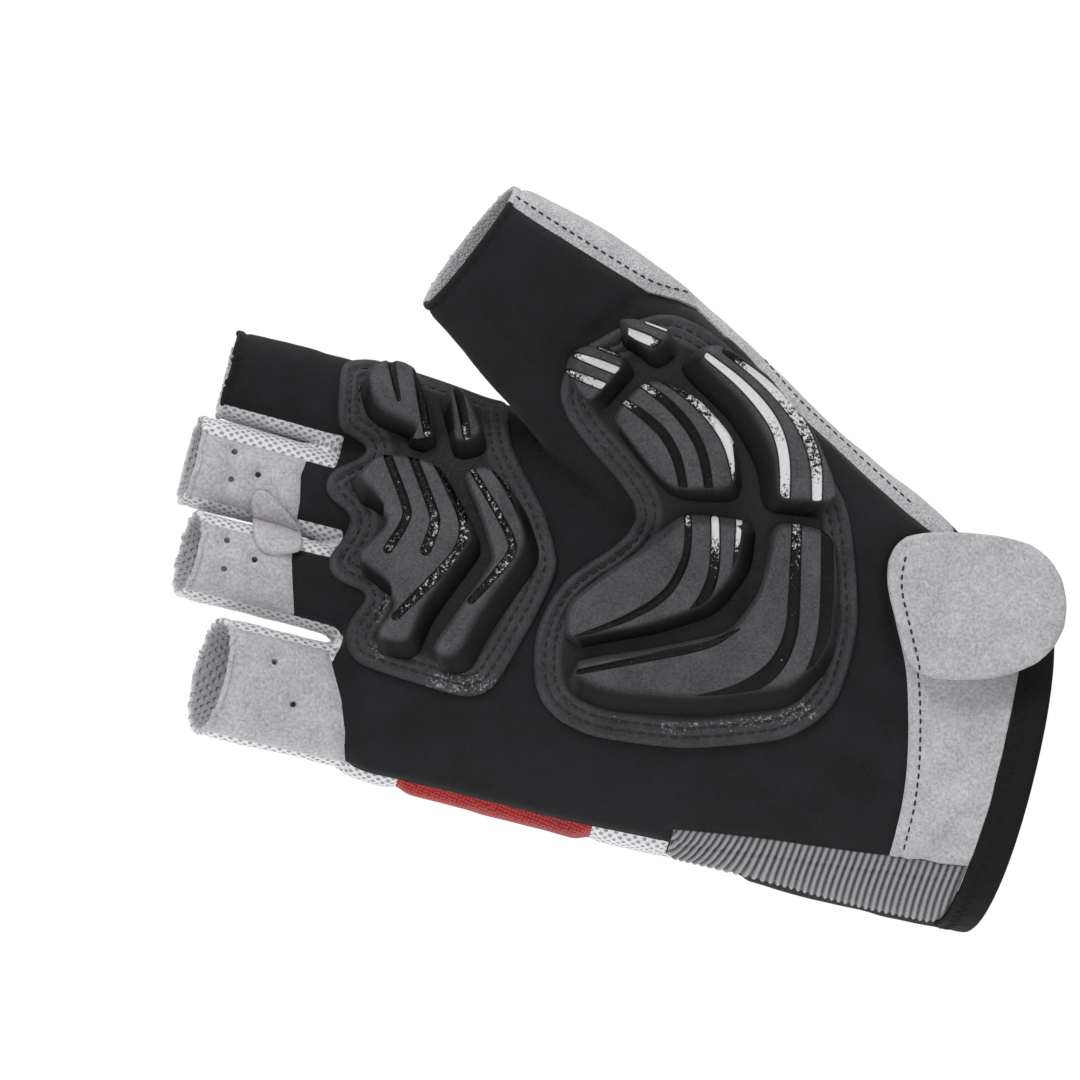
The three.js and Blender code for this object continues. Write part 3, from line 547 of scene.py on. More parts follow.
GUSSET_BACK = 277.0  # degrees round the wrist
edge_table = np.array([(0, 0.58), (0.11, 0.64), (0.2, 0.72), (0.36, 0.84), (0.5, 0.9), (0.85, 0.9)])


def edge_seam(along, square):
    """How far round the hand the seam at the little-finger edge lies, in degrees."""
    sine = np.interp(along, *edge_table.T)
    return 360 - np.degrees(np.arcsin(sine ** (square / 2)))


GUSSET_STARTS = 0.36
WRIST_RADIUS = 27
NEOPRENE_ENDS = 0.27
round_wrist = np.minimum(palm_angle - GUSSET_BACK, edge_seam(palm_along, palm_square) - palm_angle)
fields["gusset"] = np.minimum(np.radians(round_wrist) * WRIST_RADIUS, x + GUSSET_STARTS * GLOVE_LENGTH)
fields["gusset"] = np.minimum(fields["gusset"], from_wrist - BINDING_WIDTH)
fields["neoprene"] = np.minimum(x + NEOPRENE_ENDS * GLOVE_LENGTH, y + 0.1 * PALM_DEPTH)

# The seam of the thumb's towelling as it is seen from the palm: X and Z.
thumb_seam = np.array([
    (-140, 93.5), (-131.2, 90.4), (-123, 87.3), (-113.7, 84.4), (-104.3, 81.4), (-97.3, 79.6),
    (-91, 80.1), (-86.5, 79.7), (-80.2, 75.9), (-73.8, 72.1), (-63.1, 63.9), (-53.2, 58.8),
    (-43.1, 53.1), (-34.3, 48.4), (-20, 42),
])
TOWEL_FROM, TOWEL_TO = 84, 262  # degrees round the thumb
THUMB_RADIUS = 15
OUTSIDE = -10.0
place, angle, radius, past = tube_at["thumb"]
forward_seam = (z - np.interp(x, *thumb_seam.T)) * 1.15
turned = np.where(angle < TOWEL_TO, np.radians(angle - TOWEL_FROM) * THUMB_RADIUS, OUTSIDE)
over_back = np.radians(TOWEL_TO - angle) * THUMB_RADIUS
towelled = np.where(angle < 200, np.maximum(forward_seam, turned), over_back)
towelled = np.where((angle > 290) & (forward_seam < 4), OUTSIDE, towelled)
thumb_outline = outline_of([
    (0.9, 0.585), (0.66, 0.585), (0.6, 0.575), (0.5, 0.44), (0.4, 0.36), (0.3, 0.32), (0.1, 0.31),
    (0.1, 1.4), (0.9, 1.4),
])
near_thumb = (1.25 - radius) * THUMB_RADIUS
towelled = np.minimum(towelled, outline_distance(points[:, [0, 2]], thumb_outline))
fields["thumb"] = near_thumb
fields["towelling"] = np.minimum(np.minimum(towelled, near_thumb), (place - 0.9) * 20)

cuff_seam = [
    (0.111, -0.5), (0.112, -0.26), (0.113, -0.13), (0.122, 0), (0.143, 0.176),
    (0.172, 0.294), (0.194, 0.388), (0.194, 0.46), (0.16, 0.53), (0.09, 0.58), (0.0, 0.6),
]
CUFF_BACK = 3.5  # how far back the cuff reaches
past_wrist = outline_of([(-0.2, 0.6), (-0.2, -0.5)])
cuff_outline = np.concatenate([curved(outline_of(cuff_seam)), past_wrist])
fields["cuff"] = np.minimum(outline_distance(points[:, [0, 2]], cuff_outline), CUFF_BACK - y)

RED_STARTS = 0.45
RED_ENDS = 0.682
# along, little-finger edge, index edge: how far back the palm's suede reaches.
back_rows = np.array([
    (0.0, -0.3, 0.1), (0.3, -0.28, 0.1), (0.5, -0.26, 0.1), (0.69, -0.32, 0.12), (0.76, -0.33, 0.1),
    (0.82, -0.45, 0.06), (0.92, -0.68, -0.02), (1.06, -0.95, -0.1),
])
little_edge, index_edge = (
    np.interp(-x / GLOVE_LENGTH, back_rows[:, 0], back_rows[:, column]) for column in (1, 2)
)
back_edge = little_edge + (index_edge - little_edge) * (z / PALM_BREADTH + 0.4)
fields["back"] = y - back_edge * PALM_DEPTH
fields["red"] = np.minimum(x + RED_ENDS * GLOVE_LENGTH, -RED_STARTS * GLOVE_LENGTH - x)
fields["finger backs"] = -RED_ENDS * GLOVE_LENGTH - x

field_names = list(fields)
data = np.stack([fields[name] for name in field_names], -1)
columns = {name: index for index, name in enumerate(field_names)}
first_extra = len(field_names)
data = np.concatenate([data, shell_normals, weave], -1)


def field_of(part, name):
    """A field at the points of a part of the shell."""
    return part[2][:, columns[name]]


shell_part = largest_body((points, faces, data))
rest = split(shell_part, field_of(shell_part, "open ends"))[0]
rest = split(rest, field_of(rest, "wrist opening"))[0]
rest = largest_body(rest)
panels = {}
suede_names = [name + " suede" for name in suede_sides]
for name in (*suede_names, *facing_sides, "gusset", "neoprene", "towelling", "cuff"):
    panels[name], rest = split(rest, field_of(rest, name))
backs, rest = split(rest, field_of(rest, "back"))
panels["red"], backs = split(backs, field_of(backs, "red"))
panels["finger backs"], panels["hand back"] = split(backs, field_of(backs, "finger backs"))
panels["palm"] = rest
panels = {name: largest_body(part) for name, part in panels.items()}
shell_tree = BVHTree.FromPolygons(shell_part[0].tolist(), shell_part[1].tolist())


def border_of(faces):
    """The edges that only one face has, in that face's order."""
    directed = np.concatenate([faces[:, [0, 1]], faces[:, [1, 2]], faces[:, [2, 0]]])
    keys = np.sort(directed, axis=1)
    _, places, counts = np.unique(keys, axis=0, return_inverse=True, return_counts=True)
    return directed[counts[places.ravel()] == 1]


def walls_between(loops):
    """Triangles that join each row of border edges to the next."""
    walls = []
    for near, far in zip(loops, loops[1:]):
        walls.append(np.stack([near[:, 1], near[:, 0], far[:, 0]], -1))
        walls.append(np.stack([near[:, 1], far[:, 0], far[:, 1]], -1))
    return walls


def border_gap(points, ends):
    """How far each point is from the border."""
    tree = KDTree(len(ends) * 2)
    for index, (a, b) in enumerate(ends):
        tree.insert(points[a], index * 2)
        tree.insert((points[a] + points[b]) / 2, index * 2 + 1)
    tree.balance()
    return np.array([tree.find(point)[2] for point in points])


def soft_noise(points, scale, seed):
    """Smooth unevenness, from -1 to 1, as long as scale in millimetres."""
    offset = Vector((seed * 17.3, seed * 5.1, seed * 9.7))
    return np.array([noise.noise(Vector(point) / scale + offset) for point in points])


def cloth_panel(part, rise=0.0, dip=0.65, dip_width=1.5, puff=0.0, wall=CLOTH_WALL, folds=None):
    """A panel of cloth with its edges turned in at the seams and rolled at the open ends."""
    points, faces, data = part
    normals = unit(data[:, first_extra : first_extra + 3])
    ends = border_of(faces)
    gap = border_gap(points, ends)
    opening = np.minimum(field_of(part, "open ends"), 20)
    at_opening = smooth(2.6, 0.6, opening)
    relief = 0.32 * soft_noise(points, 13, 1) + 0.13 * soft_noise(points, 5, 2)
    relief += puff * smooth(0, 4, gap)
    seam = hill(gap, 0, dip_width) * (1 - at_opening)
    lifted = rise + relief * smooth(0, 3, gap) - dip * seam
    if folds is not None:
        lifted = lifted + folds(points)
    outer = points + normals * lifted[:, None]
    inner = points - normals * wall
    start, end = points[ends[:, 0]], points[ends[:, 1]]
    sideways = np.cross(end - start, normals[ends[:, 0]])
    outward = np.zeros_like(points)
    for axis in range(3):
        for corner in (0, 1):
            outward[:, axis] += np.bincount(ends[:, corner], sideways[:, axis], len(points))
    rim = np.unique(ends)
    place = np.zeros(len(points), int)
    place[rim] = np.arange(len(rim))
    for _ in range(4):
        evened = outward.copy()
        np.add.at(evened, ends[:, 0], outward[ends[:, 1]])
        np.add.at(evened, ends[:, 1], outward[ends[:, 0]])
        outward = evened / 3
    outward = unit(outward[rim])
    rounded = 0.08 + 0.62 * at_opening[rim]
    thick = ((outer[rim] - inner[rim]) * normals[rim]).sum(-1)
    rows, count = [], len(points)
    for turn in np.radians([30, 60, 90, 120, 150]):
        deep = thick * (1 - np.cos(turn)) / 2
        row = outer[rim] - normals[rim] * deep[:, None]
        rows.append(row + outward * (rounded * np.sin(turn))[:, None])
    every = np.concatenate([outer, inner, *rows])
    rings = [place[ends] + 2 * count + index * len(rim) for index in range(5)]
    walls = walls_between([ends, *rings, ends + count])
    all_faces = np.concatenate([faces, faces[:, ::-1] + count, *walls])
    inside = np.concatenate([0 * gap, 0 * gap + 1, np.repeat([0, 0, 0, 0.5, 1], len(rim))])
    extra = data[:, first_extra + 3 :]
    weave = np.concatenate([extra, extra, *[extra[rim]] * 5])
    return every, all_faces, {"inside": inside, "weave": weave}


built = {}


def add_piece(name, points, faces, marks, material, nodes, slot):
    """A mesh object in metres that stands for its CAD nodes and carries its marks."""
    built[name] = (points, faces)
    mesh = bpy.data.meshes.new(name)
    mesh.from_pydata((points * MM).tolist(), [], faces.tolist())
    for mark, values in marks.items():
        kind, field = ("FLOAT", "value") if values.ndim == 1 else ("FLOAT_VECTOR", "vector")
        layer = mesh.attributes.new(mark, kind, "POINT")
        layer.data.foreach_set(field, values.astype(np.float32).ravel())
    mesh.shade_smooth()
    mesh.materials.append(material)
    piece = bpy.data.objects.new(name, mesh)
    bpy.context.scene.collection.objects.link(piece)
    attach(piece, "root")
    if nodes:
        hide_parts(*nodes)
    return piece


# Palm: one panel of black synthetic suede over the palm, up the front of the index finger and
# the thumb. It is cut from brushed microfibre and turned in at its seams.


def linear(colour):
    """An sRGB hex colour as linear light."""
    parts = [int(colour[i : i + 2], 16) / 255 for i in (1, 3, 5)]
    return (*[p / 12.92 if p <= 0.04045 else ((p + 0.055) / 1.055) ** 2.4 for p in parts], 1.0)


def new_material(name):
    """A material, its nodes, its surface and the place that its patterns are laid out by."""
    made = bpy.data.materials.new(name)
    made.use_nodes = True
    tree = made.node_tree
    where = tree.nodes.new("ShaderNodeTexCoord").outputs["Object"]
    return made, tree, tree.nodes["Principled BSDF"], where


def fill(tree, node, inputs):
    """Gives each input a number, a colour, or a link from another node's result."""
    for key, value in inputs.items():
        if isinstance(value, str):
            value = linear(value)
        if isinstance(value, bpy.types.Node):
            value = next(result for result in value.outputs if result.enabled)
        if isinstance(value, bpy.types.NodeSocket):
            tree.links.new(value, node.inputs[key])
        else:
            node.inputs[key].default_value = value


def add(tree, kind, inputs=None, **settings):
    """Adds a shader node with its settings, and fills its inputs."""
    node = tree.nodes.new("ShaderNode" + kind)
    for name, value in settings.items():
        setattr(node, name, value)
    fill(tree, node, inputs or {})
    return node


black_suede, tree, shader, where = new_material("Brushed black microfibre suede")
# Fibres about 0.25 mm long lie in brushed patches a centimetre across: soft, matt, no glint.
patches = add(tree, "TexNoise", {"Vector": where, "Scale": 110, "Detail": 3, "Roughness": 0.6})
fibres = add(tree, "TexNoise", {"Vector": where, "Scale": 2200, "Detail": 2})
grain = add(tree, "Math", {0: fibres, 1: 0.55}, operation="MULTIPLY")
mixed = add(tree, "Math", {0: patches, 1: 0.75, 2: grain}, operation="MULTIPLY_ADD")
share = add(tree, "MapRange", {0: mixed, 1: 0.4, 2: 0.9})
colour = add(tree, "Mix", {0: share, 6: "#111012", 7: "#232225"}, data_type="RGBA")
rough = add(tree, "MapRange", {0: patches, 1: 0.3, 2: 0.7, 3: 0.82, 4: 0.95})
bump = add(tree, "Bump", {"Height": grain, "Strength": 0.5, "Distance": 0.0003})
fill(tree, shader, {
    "Base Color": colour, "Roughness": rough, "Normal": bump, "Sheen Weight": 0.08,
    "Sheen Roughness": 0.45, "Specular IOR Level": 0.2,
})

palm_fold = np.array([(-107.2, 67.0), (-99.0, 77.7), (-86.5, 79.7), (-81.2, 75.6)])


def line_gap(places, line):
    """How far places are from a line of points."""
    start, run = line[:-1], np.diff(line, axis=0)
    result = np.full(len(places), 1e9)
    for a, along in zip(start, run):
        share = np.clip(((places - a) @ along) / (along @ along), 0, 1)
        result = np.minimum(result, np.linalg.norm(places - a - share[:, None] * along, axis=1))
    return result


def palm_folds(points):
    """One fold across the root of the thumb."""
    near = line_gap(points[:, [0, 2]], palm_fold)
    front = smooth(4, -4, points[:, 1])
    return -1.1 * hill(near, 0, 2.2) * front


add_piece(
    "palm_suede_panel", *cloth_panel(panels["palm"], folds=palm_folds),
    black_suede, ["palm_panel"], "palm_suede",
)

# Finger fronts: pale grey synthetic suede on the palm side of the middle, ring and little
# fingers, with small holes punched through it for air.
grey_suede, tree, shader, where = new_material("Brushed grey microfibre suede")
# A speckled nap: light and dark fibres about 0.3 mm across, quite matt.
patches = add(tree, "TexNoise", {"Vector": where, "Scale": 140, "Detail": 3, "Roughness": 0.6})
speckle = add(tree, "TexNoise", {"Vector": where, "Scale": 1500, "Detail": 3, "Roughness": 0.7})
mixed = add(tree, "Math", {0: patches, 1: 0.35, 2: speckle}, operation="MULTIPLY_ADD")
share = add(tree, "MapRange", {0: mixed, 1: 0.45, 2: 0.9})
colour = add(tree, "Mix", {0: share, 6: "#959397", 7: "#c8c6c9"}, data_type="RGBA")
rough = add(tree, "MapRange", {0: speckle, 1: 0.3, 2: 0.7, 3: 0.85, 4: 0.97})
bump = add(tree, "Bump", {"Height": speckle, "Strength": 0.6, "Distance": 0.00035})
fill(tree, shader, {
    "Base Color": colour, "Roughness": rough, "Normal": bump, "Sheen Weight": 0.1,
    "Sheen Roughness": 0.6, "Specular IOR Level": 0.2,
})

VENT_RADIUS = 0.72
vents = {
    "middle": [(-173.5, 26.4), (-172.8, 20.3), (-167.6, 22.7)],
    "ring": [(-170.2, 8.2), (-163.7, 5.5), (-169.3, 1.9)],
    "little": [(-154.3, -14.0), (-148.5, -22.0)],
}


def finer(part):
    """The same panel with every triangle cut into four."""
    points, faces, data = part
    edges = edges_of(faces)
    keys = edges[:, 0] * len(points) + edges[:, 1]
    middles = []
    for a, b in ((0, 1), (1, 2), (2, 0)):
        pair = np.sort(faces[:, [a, b]], axis=1)
        middles.append(len(points) + np.searchsorted(keys, pair[:, 0] * len(points) + pair[:, 1]))
    ab, bc, ca = middles
    a, b, c = faces.T
    parts = [np.stack(corners, -1) for corners in ((a, ab, ca), (ab, b, bc), (ca, bc, c), (ab, bc, ca))]
    grown = []
    for values in (points, data):
        grown.append(np.concatenate([values, (values[edges[:, 0]] + values[edges[:, 1]]) / 2]))
    return grown[0], np.concatenate(parts), grown[1]


for name in suede_sides:
    part = finer(panels[name + " suede"])
    gaps = [np.linalg.norm(part[0][:, [0, 2]] - np.array(vent), axis=1) for vent in vents[name]]
    part = split(part, np.min(gaps, axis=0) - VENT_RADIUS)[0]
    add_piece(
        name + "_suede_front", *cloth_panel(part, puff=0.25, dip=0.5, dip_width=0.9),
        grey_suede, [name + "_finger_front"], "grey_suede",
    )

# Mesh: the strips between the fingers and the backs of the fingers and hand, in white
# warp-knitted mesh whose small holes stand in staggered rows 2 mm apart.
white_mesh, tree, shader, where = new_material("White polyester air mesh")
# Round dimples, 2.05 mm apart in staggered rows, in a slightly shiny white knit.
weave_at = add(tree, "Attribute", attribute_name="weave").outputs["Vector"]
diagonal = (0, 0, math.radians(45))
turned_weave = add(tree, "Mapping", {"Vector": weave_at, "Rotation": diagonal, "Scale": (0.69,) * 3})
cells = {"Vector": turned_weave, "Scale": 1.0, "Randomness": 0.12}
holes = add(tree, "TexVoronoi", cells, voronoi_dimensions="2D")
hole = add(tree, "MapRange", {0: holes, 1: 0.16, 2: 0.36})
yarns = add(tree, "TexNoise", {"Vector": where, "Scale": 2600, "Detail": 2})
inside = add(tree, "Attribute", attribute_name="inside").outputs["Fac"]
colour = add(tree, "Mix", {0: hole, 6: "#98979d", 7: "#dedde0"}, data_type="RGBA")
lined = add(tree, "Mix", {0: inside, 6: colour, 7: "#b4b3b7"}, data_type="RGBA")
rough = add(tree, "MapRange", {0: yarns, 1: 0.3, 2: 0.7, 3: 0.6, 4: 0.8})
height = add(tree, "Math", {0: yarns, 1: 0.2, 2: hole}, operation="MULTIPLY_ADD")
bump = add(tree, "Bump", {"Height": height, "Strength": 0.8, "Distance": 0.0005})
fill(tree, shader, {
    "Base Color": lined, "Roughness": rough, "Normal": bump, "Sheen Weight": 0.2,
})
for pair in facing_sides:
    add_piece(
        pair + "_mesh_strip", *cloth_panel(panels[pair], dip=0.5),
        white_mesh, [pair + "_fourchette"], "white_mesh",
    )
add_piece(
    "finger_backs_mesh", *cloth_panel(panels["finger backs"]),
    white_mesh, ["back_fingers"], "white_mesh",
)
add_piece("hand_back_mesh", *cloth_panel(panels["hand back"]), white_mesh, ["back_hand"], "white_mesh")

# Knuckle band: a panel of red stretch knit across the knuckles, which wraps round the
# little-finger edge to the palm's suede.
red_knit, tree, shader, where = new_material("Red knitted elastane")
# Small knitted loops, 0.75 mm by 0.9 mm; their middles are painted lighter than the gaps between them, a
# painted highlight for how they take the light as fine dots.
weave_at = add(tree, "Attribute", attribute_name="weave").outputs["Vector"]
skewed = (0, 0, math.radians(8))
loops_at = add(tree, "Mapping", {"Vector": weave_at, "Rotation": skewed, "Scale": (1.33, 1.1, 1)})
cells = {"Vector": loops_at, "Scale": 1.0, "Randomness": 0.35}
loops = add(tree, "TexVoronoi", cells, voronoi_dimensions="2D")
patches = add(tree, "TexNoise", {"Vector": where, "Scale": 160, "Detail": 2})
loop = add(tree, "MapRange", {0: loops, 1: 0.15, 2: 0.6, 3: 1, 4: 0})
mixed = add(tree, "Math", {0: patches, 1: 0.6, 2: loop}, operation="MULTIPLY_ADD")
share = add(tree, "MapRange", {0: mixed, 1: 0.2, 2: 1.3})
# Painted highlight: the loops' middles are lighter and the gaps between them darker.
colour = add(tree, "Mix", {0: share, 6: "#6f0f0d", 7: "#b81f1b"}, data_type="RGBA")
rough = add(tree, "MapRange", {0: loop, 1: 0, 2: 1, 3: 0.95, 4: 0.8})
bump = add(tree, "Bump", {"Height": loop, "Strength": 0.7, "Distance": 0.0003})
fill(tree, shader, {
    "Base Color": colour, "Roughness": rough, "Normal": bump, "Sheen Weight": 0.25,
    "Specular IOR Level": 0.3,
})
add_piece(
    "red_knuckle_band", *cloth_panel(panels["red"], puff=0.3),
    red_knit, ["knuckle_band"], "red_knit",
)

# Thumb back: pale towelling over the back of the thumb, soft enough to wipe with, sewn to the
# palm's suede along the thumb.
terry, tree, shader, where = new_material("Grey cotton towelling")
# Cut loops about 0.5 mm across, with no gloss at all.
loops = add(tree, "TexVoronoi", {"Vector": where, "Scale": 1700, "Randomness": 1.0})
patches = add(tree, "TexNoise", {"Vector": where, "Scale": 200, "Detail": 3})
mixed = add(tree, "Math", {0: patches, 1: 0.8, 2: loops}, operation="MULTIPLY_ADD")
share = add(tree, "MapRange", {0: mixed, 1: 0.4, 2: 1.2, 3: 1, 4: 0})
colour = add(tree, "Mix", {0: share, 6: "#a2a1a4", 7: "#cfced0"}, data_type="RGBA")
rough = add(tree, "MapRange", {0: loops, 1: 0, 2: 0.8, 3: 0.9, 4: 1.0})
bump = add(tree, "Bump", {"Height": loops, "Strength": 0.6, "Distance": 0.0004})
bump.invert = True
fill(tree, shader, {
    "Base Color": colour, "Roughness": rough, "Normal": bump, "Sheen Weight": 0.15,
    "Specular IOR Level": 0.1,
})
add_piece(
    "thumb_back_towelling", *cloth_panel(panels["towelling"], puff=0.4, dip=0.8),
    terry, ["thumb_back"], "towelling",
)

# Cuff front: grey suede across the palm side of the wrist, folded back on itself along its
# curved upper seam, with one long soft crease towards the binding.
cuff_crease = np.array([(-13.5, -22.0), (-8.0, -12.5), (-3.0, -3.5)])


def sewn_groove(points, row):
    """The dent that a row of stitches pulls into cloth, and the rolled edge beside it."""
    near = line_gap(points[:, [0, 2]], row)
    front = smooth(6, 0, points[:, 1])
    rolled = 0.16 * hill(near, 1.3, 0.7)
    return (rolled - 0.4 * hill(near, 0, 0.5)) * front


cuff_row = curved(outline_of(cuff_seam)[:-3]) + [2.5, 0]


def cuff_folds(points):
    """The cuff's crease, which fades before the binding, and its sewn edge."""
    near = line_gap(points[:, [0, 2]], cuff_crease)
    before_binding = smooth(-4, -9, points[:, 0])
    dent = -0.55 * hill(near, 0, 1.5) + 0.3 * hill(near, 3.2, 1.8)
    return dent * before_binding + sewn_groove(points, cuff_row)


add_piece(
    "cuff_suede_front", *cloth_panel(panels["cuff"], rise=0.35, puff=0.3, folds=cuff_folds),
    grey_suede, ["cuff_front"], "grey_suede",
)

# Wrist back: black neoprene with a knitted face, thicker than the panels beside it.
black_neoprene, tree, shader, where = new_material("Black knit-faced neoprene")
# A fine jersey face, drawn at 0.5 mm, a little smoother than the suede.
jersey = add(tree, "TexVoronoi", {"Vector": where, "Scale": 1900, "Randomness": 0.6})
share = add(tree, "MapRange", {0: jersey, 1: 0.1, 2: 0.7})
colour = add(tree, "Mix", {0: share, 6: "#1d1c1e", 7: "#0e0e0f"}, data_type="RGBA")
rough = add(tree, "MapRange", {0: share, 3: 0.65, 4: 0.85})
bump = add(tree, "Bump", {"Height": jersey, "Strength": 0.4, "Distance": 0.0002})
fill(tree, shader, {
    "Base Color": colour, "Roughness": rough, "Normal": bump, "Specular IOR Level": 0.35,
})
add_piece(
    "wrist_back_neoprene", *cloth_panel(panels["neoprene"], rise=0.9, dip=1.0, dip_width=1.8),
    black_neoprene, ["wrist_back"], "neoprene",
)

# Gusset: a ribbed elastic knit let into the little-finger side of the wrist. Its ribs run
# round the wrist, 1.45 mm apart, and lean where the cloth is drawn in by the seam.
RIB_PITCH = 1.45
RIB_HEIGHT = 0.62
rib_knit, tree, shader, where = new_material("Grey ribbed elastic knit")
# Knitted loops 0.6 mm long; the rib crests are painted pale and the valleys dark, as painted shade
# between the ribs.
crest = add(tree, "Attribute", attribute_name="crest").outputs["Fac"]
loops = add(tree, "TexNoise", {"Vector": where, "Scale": 1500, "Detail": 2})
mixed = add(tree, "Math", {0: loops, 1: 0.5, 2: crest}, operation="MULTIPLY_ADD")
share = add(tree, "MapRange", {0: mixed, 1: 0.3, 2: 1.15})
colour = add(tree, "Mix", {0: share, 6: "#38373a", 7: "#9a989c"}, data_type="RGBA")
rough = add(tree, "MapRange", {0: loops, 1: 0.3, 2: 0.7, 3: 0.8, 4: 0.95})
bump = add(tree, "Bump", {"Height": loops, "Strength": 0.5, "Distance": 0.0003})
fill(tree, shader, {
    "Base Color": colour, "Roughness": rough, "Normal": bump, "Sheen Weight": 0.2,
})


def place_along(along):
    """The place on the palm's table at a share of the glove's length."""
    places = np.linspace(0, len(palm_rows) - 1, 600)
    return np.interp(along, row_at(palm_rows, places)[:, 0], places)


def halved(a, b, c, d):
    """Squares cut into two triangles each."""
    return np.concatenate([np.stack(corners, -1).reshape(-1, 3) for corners in ((a, b, c), (a, c, d))])


def grid_faces(rows, columns):
    """The triangles of a grid of points."""
    index = np.arange(rows * columns).reshape(rows, columns)
    return halved(index[:-1, :-1], index[:-1, 1:], index[1:, 1:], index[1:, :-1])


def gusset():
    """The ribbed gusset: a fine grid of its own, from its back seam to its palm seam."""
    rows, columns = 260, 56
    along = np.linspace(GUSSET_STARTS - 0.002, (BINDING_WIDTH + 0.2) / GLOVE_LENGTH, rows)[:, None]
    across = np.linspace(0, 1, columns)[None]
    place = place_along(along) + 0 * across
    square = row_at(palm_rows, place)[..., 7]
    angle = GUSSET_BACK + 0.5 + (edge_seam(along, square) - 1.0 - GUSSET_BACK) * across
    surface = palm_point(place, angle)
    steps = np.linalg.norm(np.diff(surface, axis=1), axis=2)
    round_it = np.concatenate([np.zeros((rows, 1)), np.cumsum(steps, axis=1)], 1)
    from_seam = round_it[:, -1:] - round_it
    lean = 0.35 * smooth(-40, -62, surface[..., 0]) * from_seam
    phase = (surface[..., 0] + lean + 0.5 * np.sin(from_seam / 5)) / RIB_PITCH
    wave = 0.5 + 0.5 * np.cos(2 * np.pi * phase)
    sides = np.minimum(from_seam, round_it)
    ends = np.minimum(surface[..., 0] - surface[:1, :, 0], surface[-1:, :, 0] - surface[..., 0])
    gap = np.minimum(sides, np.abs(ends))
    lifted = RIB_HEIGHT * wave**0.8 * smooth(0, 1.5, gap) + 0.5 * smooth(0, 6, gap)
    lifted -= 0.6 * hill(gap, 0, 1.2)
    lifted -= 0.35 * hill(from_seam, 3.5, 0.5)
    normal = unit(np.cross(np.gradient(surface, axis=0), np.gradient(surface, axis=1)))
    normal *= np.sign((normal * (surface - surface.mean(1, keepdims=True))).sum(-1).mean())
    outer = surface + normal * lifted[..., None]
    inner = surface - normal * CLOTH_WALL
    count = rows * columns
    shape = grid_faces(rows, columns)
    rim = border_of(shape)
    faces = np.concatenate([shape, shape[:, ::-1] + count, *walls_between([rim, rim + count])])
    # Painted shade: the colour follows the ribs, pale on the crests and dark in the valleys; the inside
    # is set midway.
    crest = np.concatenate([wave.ravel(), np.full(count, 0.3)])
    return np.concatenate([outer.reshape(-1, 3), inner.reshape(-1, 3)]), faces, {"crest": crest}


add_piece("ribbed_wrist_gusset", *gusset(), rib_knit, ["ribbed_gusset"], "rib_knit")

# Wrist binding: black elastic tape folded over the raw edge of the wrist opening and sewn down
# with a zigzag.
BINDING_RISE = 0.9
BINDING_LENGTH = 190
CORD_PITCH = 0.75
ZIGZAG_PITCH = 2.4
tape, tree, shader, where = new_material("Black woven elastic tape")
# Woven with cords 0.7 mm apart across the tape, and a dull gloss of the elastic yarn.
cord = add(tree, "Attribute", attribute_name="cord").outputs["Fac"]
yarn = add(tree, "TexNoise", {"Vector": where, "Scale": 2400, "Detail": 2})
mixed = add(tree, "Math", {0: cord, 1: 0.6, 2: yarn}, operation="MULTIPLY_ADD")
share = add(tree, "MapRange", {0: mixed, 1: 0.3, 2: 1.2})
colour = add(tree, "Mix", {0: share, 6: "#060607", 7: "#131214"}, data_type="RGBA")
rough = add(tree, "MapRange", {0: yarn, 1: 0.3, 2: 0.7, 3: 0.6, 4: 0.8})
bump = add(tree, "Bump", {"Height": mixed, "Strength": 0.5, "Distance": 0.0003})
fill(tree, shader, {
    "Base Color": colour, "Roughness": rough, "Normal": bump, "Specular IOR Level": 0.2,
})


def binding():
    """The tape from the cuff's outside over the edge and back up the inside."""
    around = np.linspace(0, 360, 540, endpoint=False)
    length = np.linspace(0, 1, 541)[:-1] * BINDING_LENGTH
    # distance up the glove and height above the cloth, from the outside to the inside
    profile = [(6.5, -0.5), (6.6, 0.35), (6.3, 0.85)]
    profile += [(step, BINDING_RISE) for step in np.linspace(5.9, 1.0, 16)]
    middle, reach = (BINDING_RISE - CLOTH_WALL - 0.6) / 2, (BINDING_RISE + CLOTH_WALL + 0.6) / 2
    turns = np.linspace(0.3, math.pi - 0.2, 9)
    profile += [(0.6 - 1.1 * math.sin(turn), middle + reach * math.cos(turn)) for turn in turns]
    profile += [(step, -CLOTH_WALL - 0.6) for step in np.linspace(1.2, 6.0, 6)]
    rows, cords = [], []
    for up, grow in profile:
        outside = smooth(-1, 0.5, grow)
        cord = 0.5 + 0.5 * np.cos(2 * np.pi * length / CORD_PITCH)
        zigzag = np.abs(((length / ZIGZAG_PITCH) % 1) * 2 - 1) * 1.5 + 3.6
        ridge = 0.28 * hill(up, zigzag, 0.38) * outside
        pressed = 0.2 * outside * hill(up, 4.3, 1.6)
        lifted = grow + 0.07 * cord * outside + ridge - pressed
        place = place_along(np.full(len(around), max(up, 0) / GLOVE_LENGTH))
        ring = palm_point(place, around)
        row = ring + (palm_point(place, around, 1.0) - ring) * lifted[:, None]
        row[:, 0] += max(-up, 0)
        rows.append(row)
        cords.append(cord * outside)
    index = np.arange(len(rows) * len(around)).reshape(len(rows), len(around))
    after = np.roll(index, -1, 1)
    faces = halved(index, after, np.roll(after, -1, 0), np.roll(index, -1, 0))
    return np.concatenate(rows), faces, {"cord": np.concatenate(cords)}


add_piece("wrist_binding_tape", *binding(), tape, ["wrist_binding"], "binding_tape")

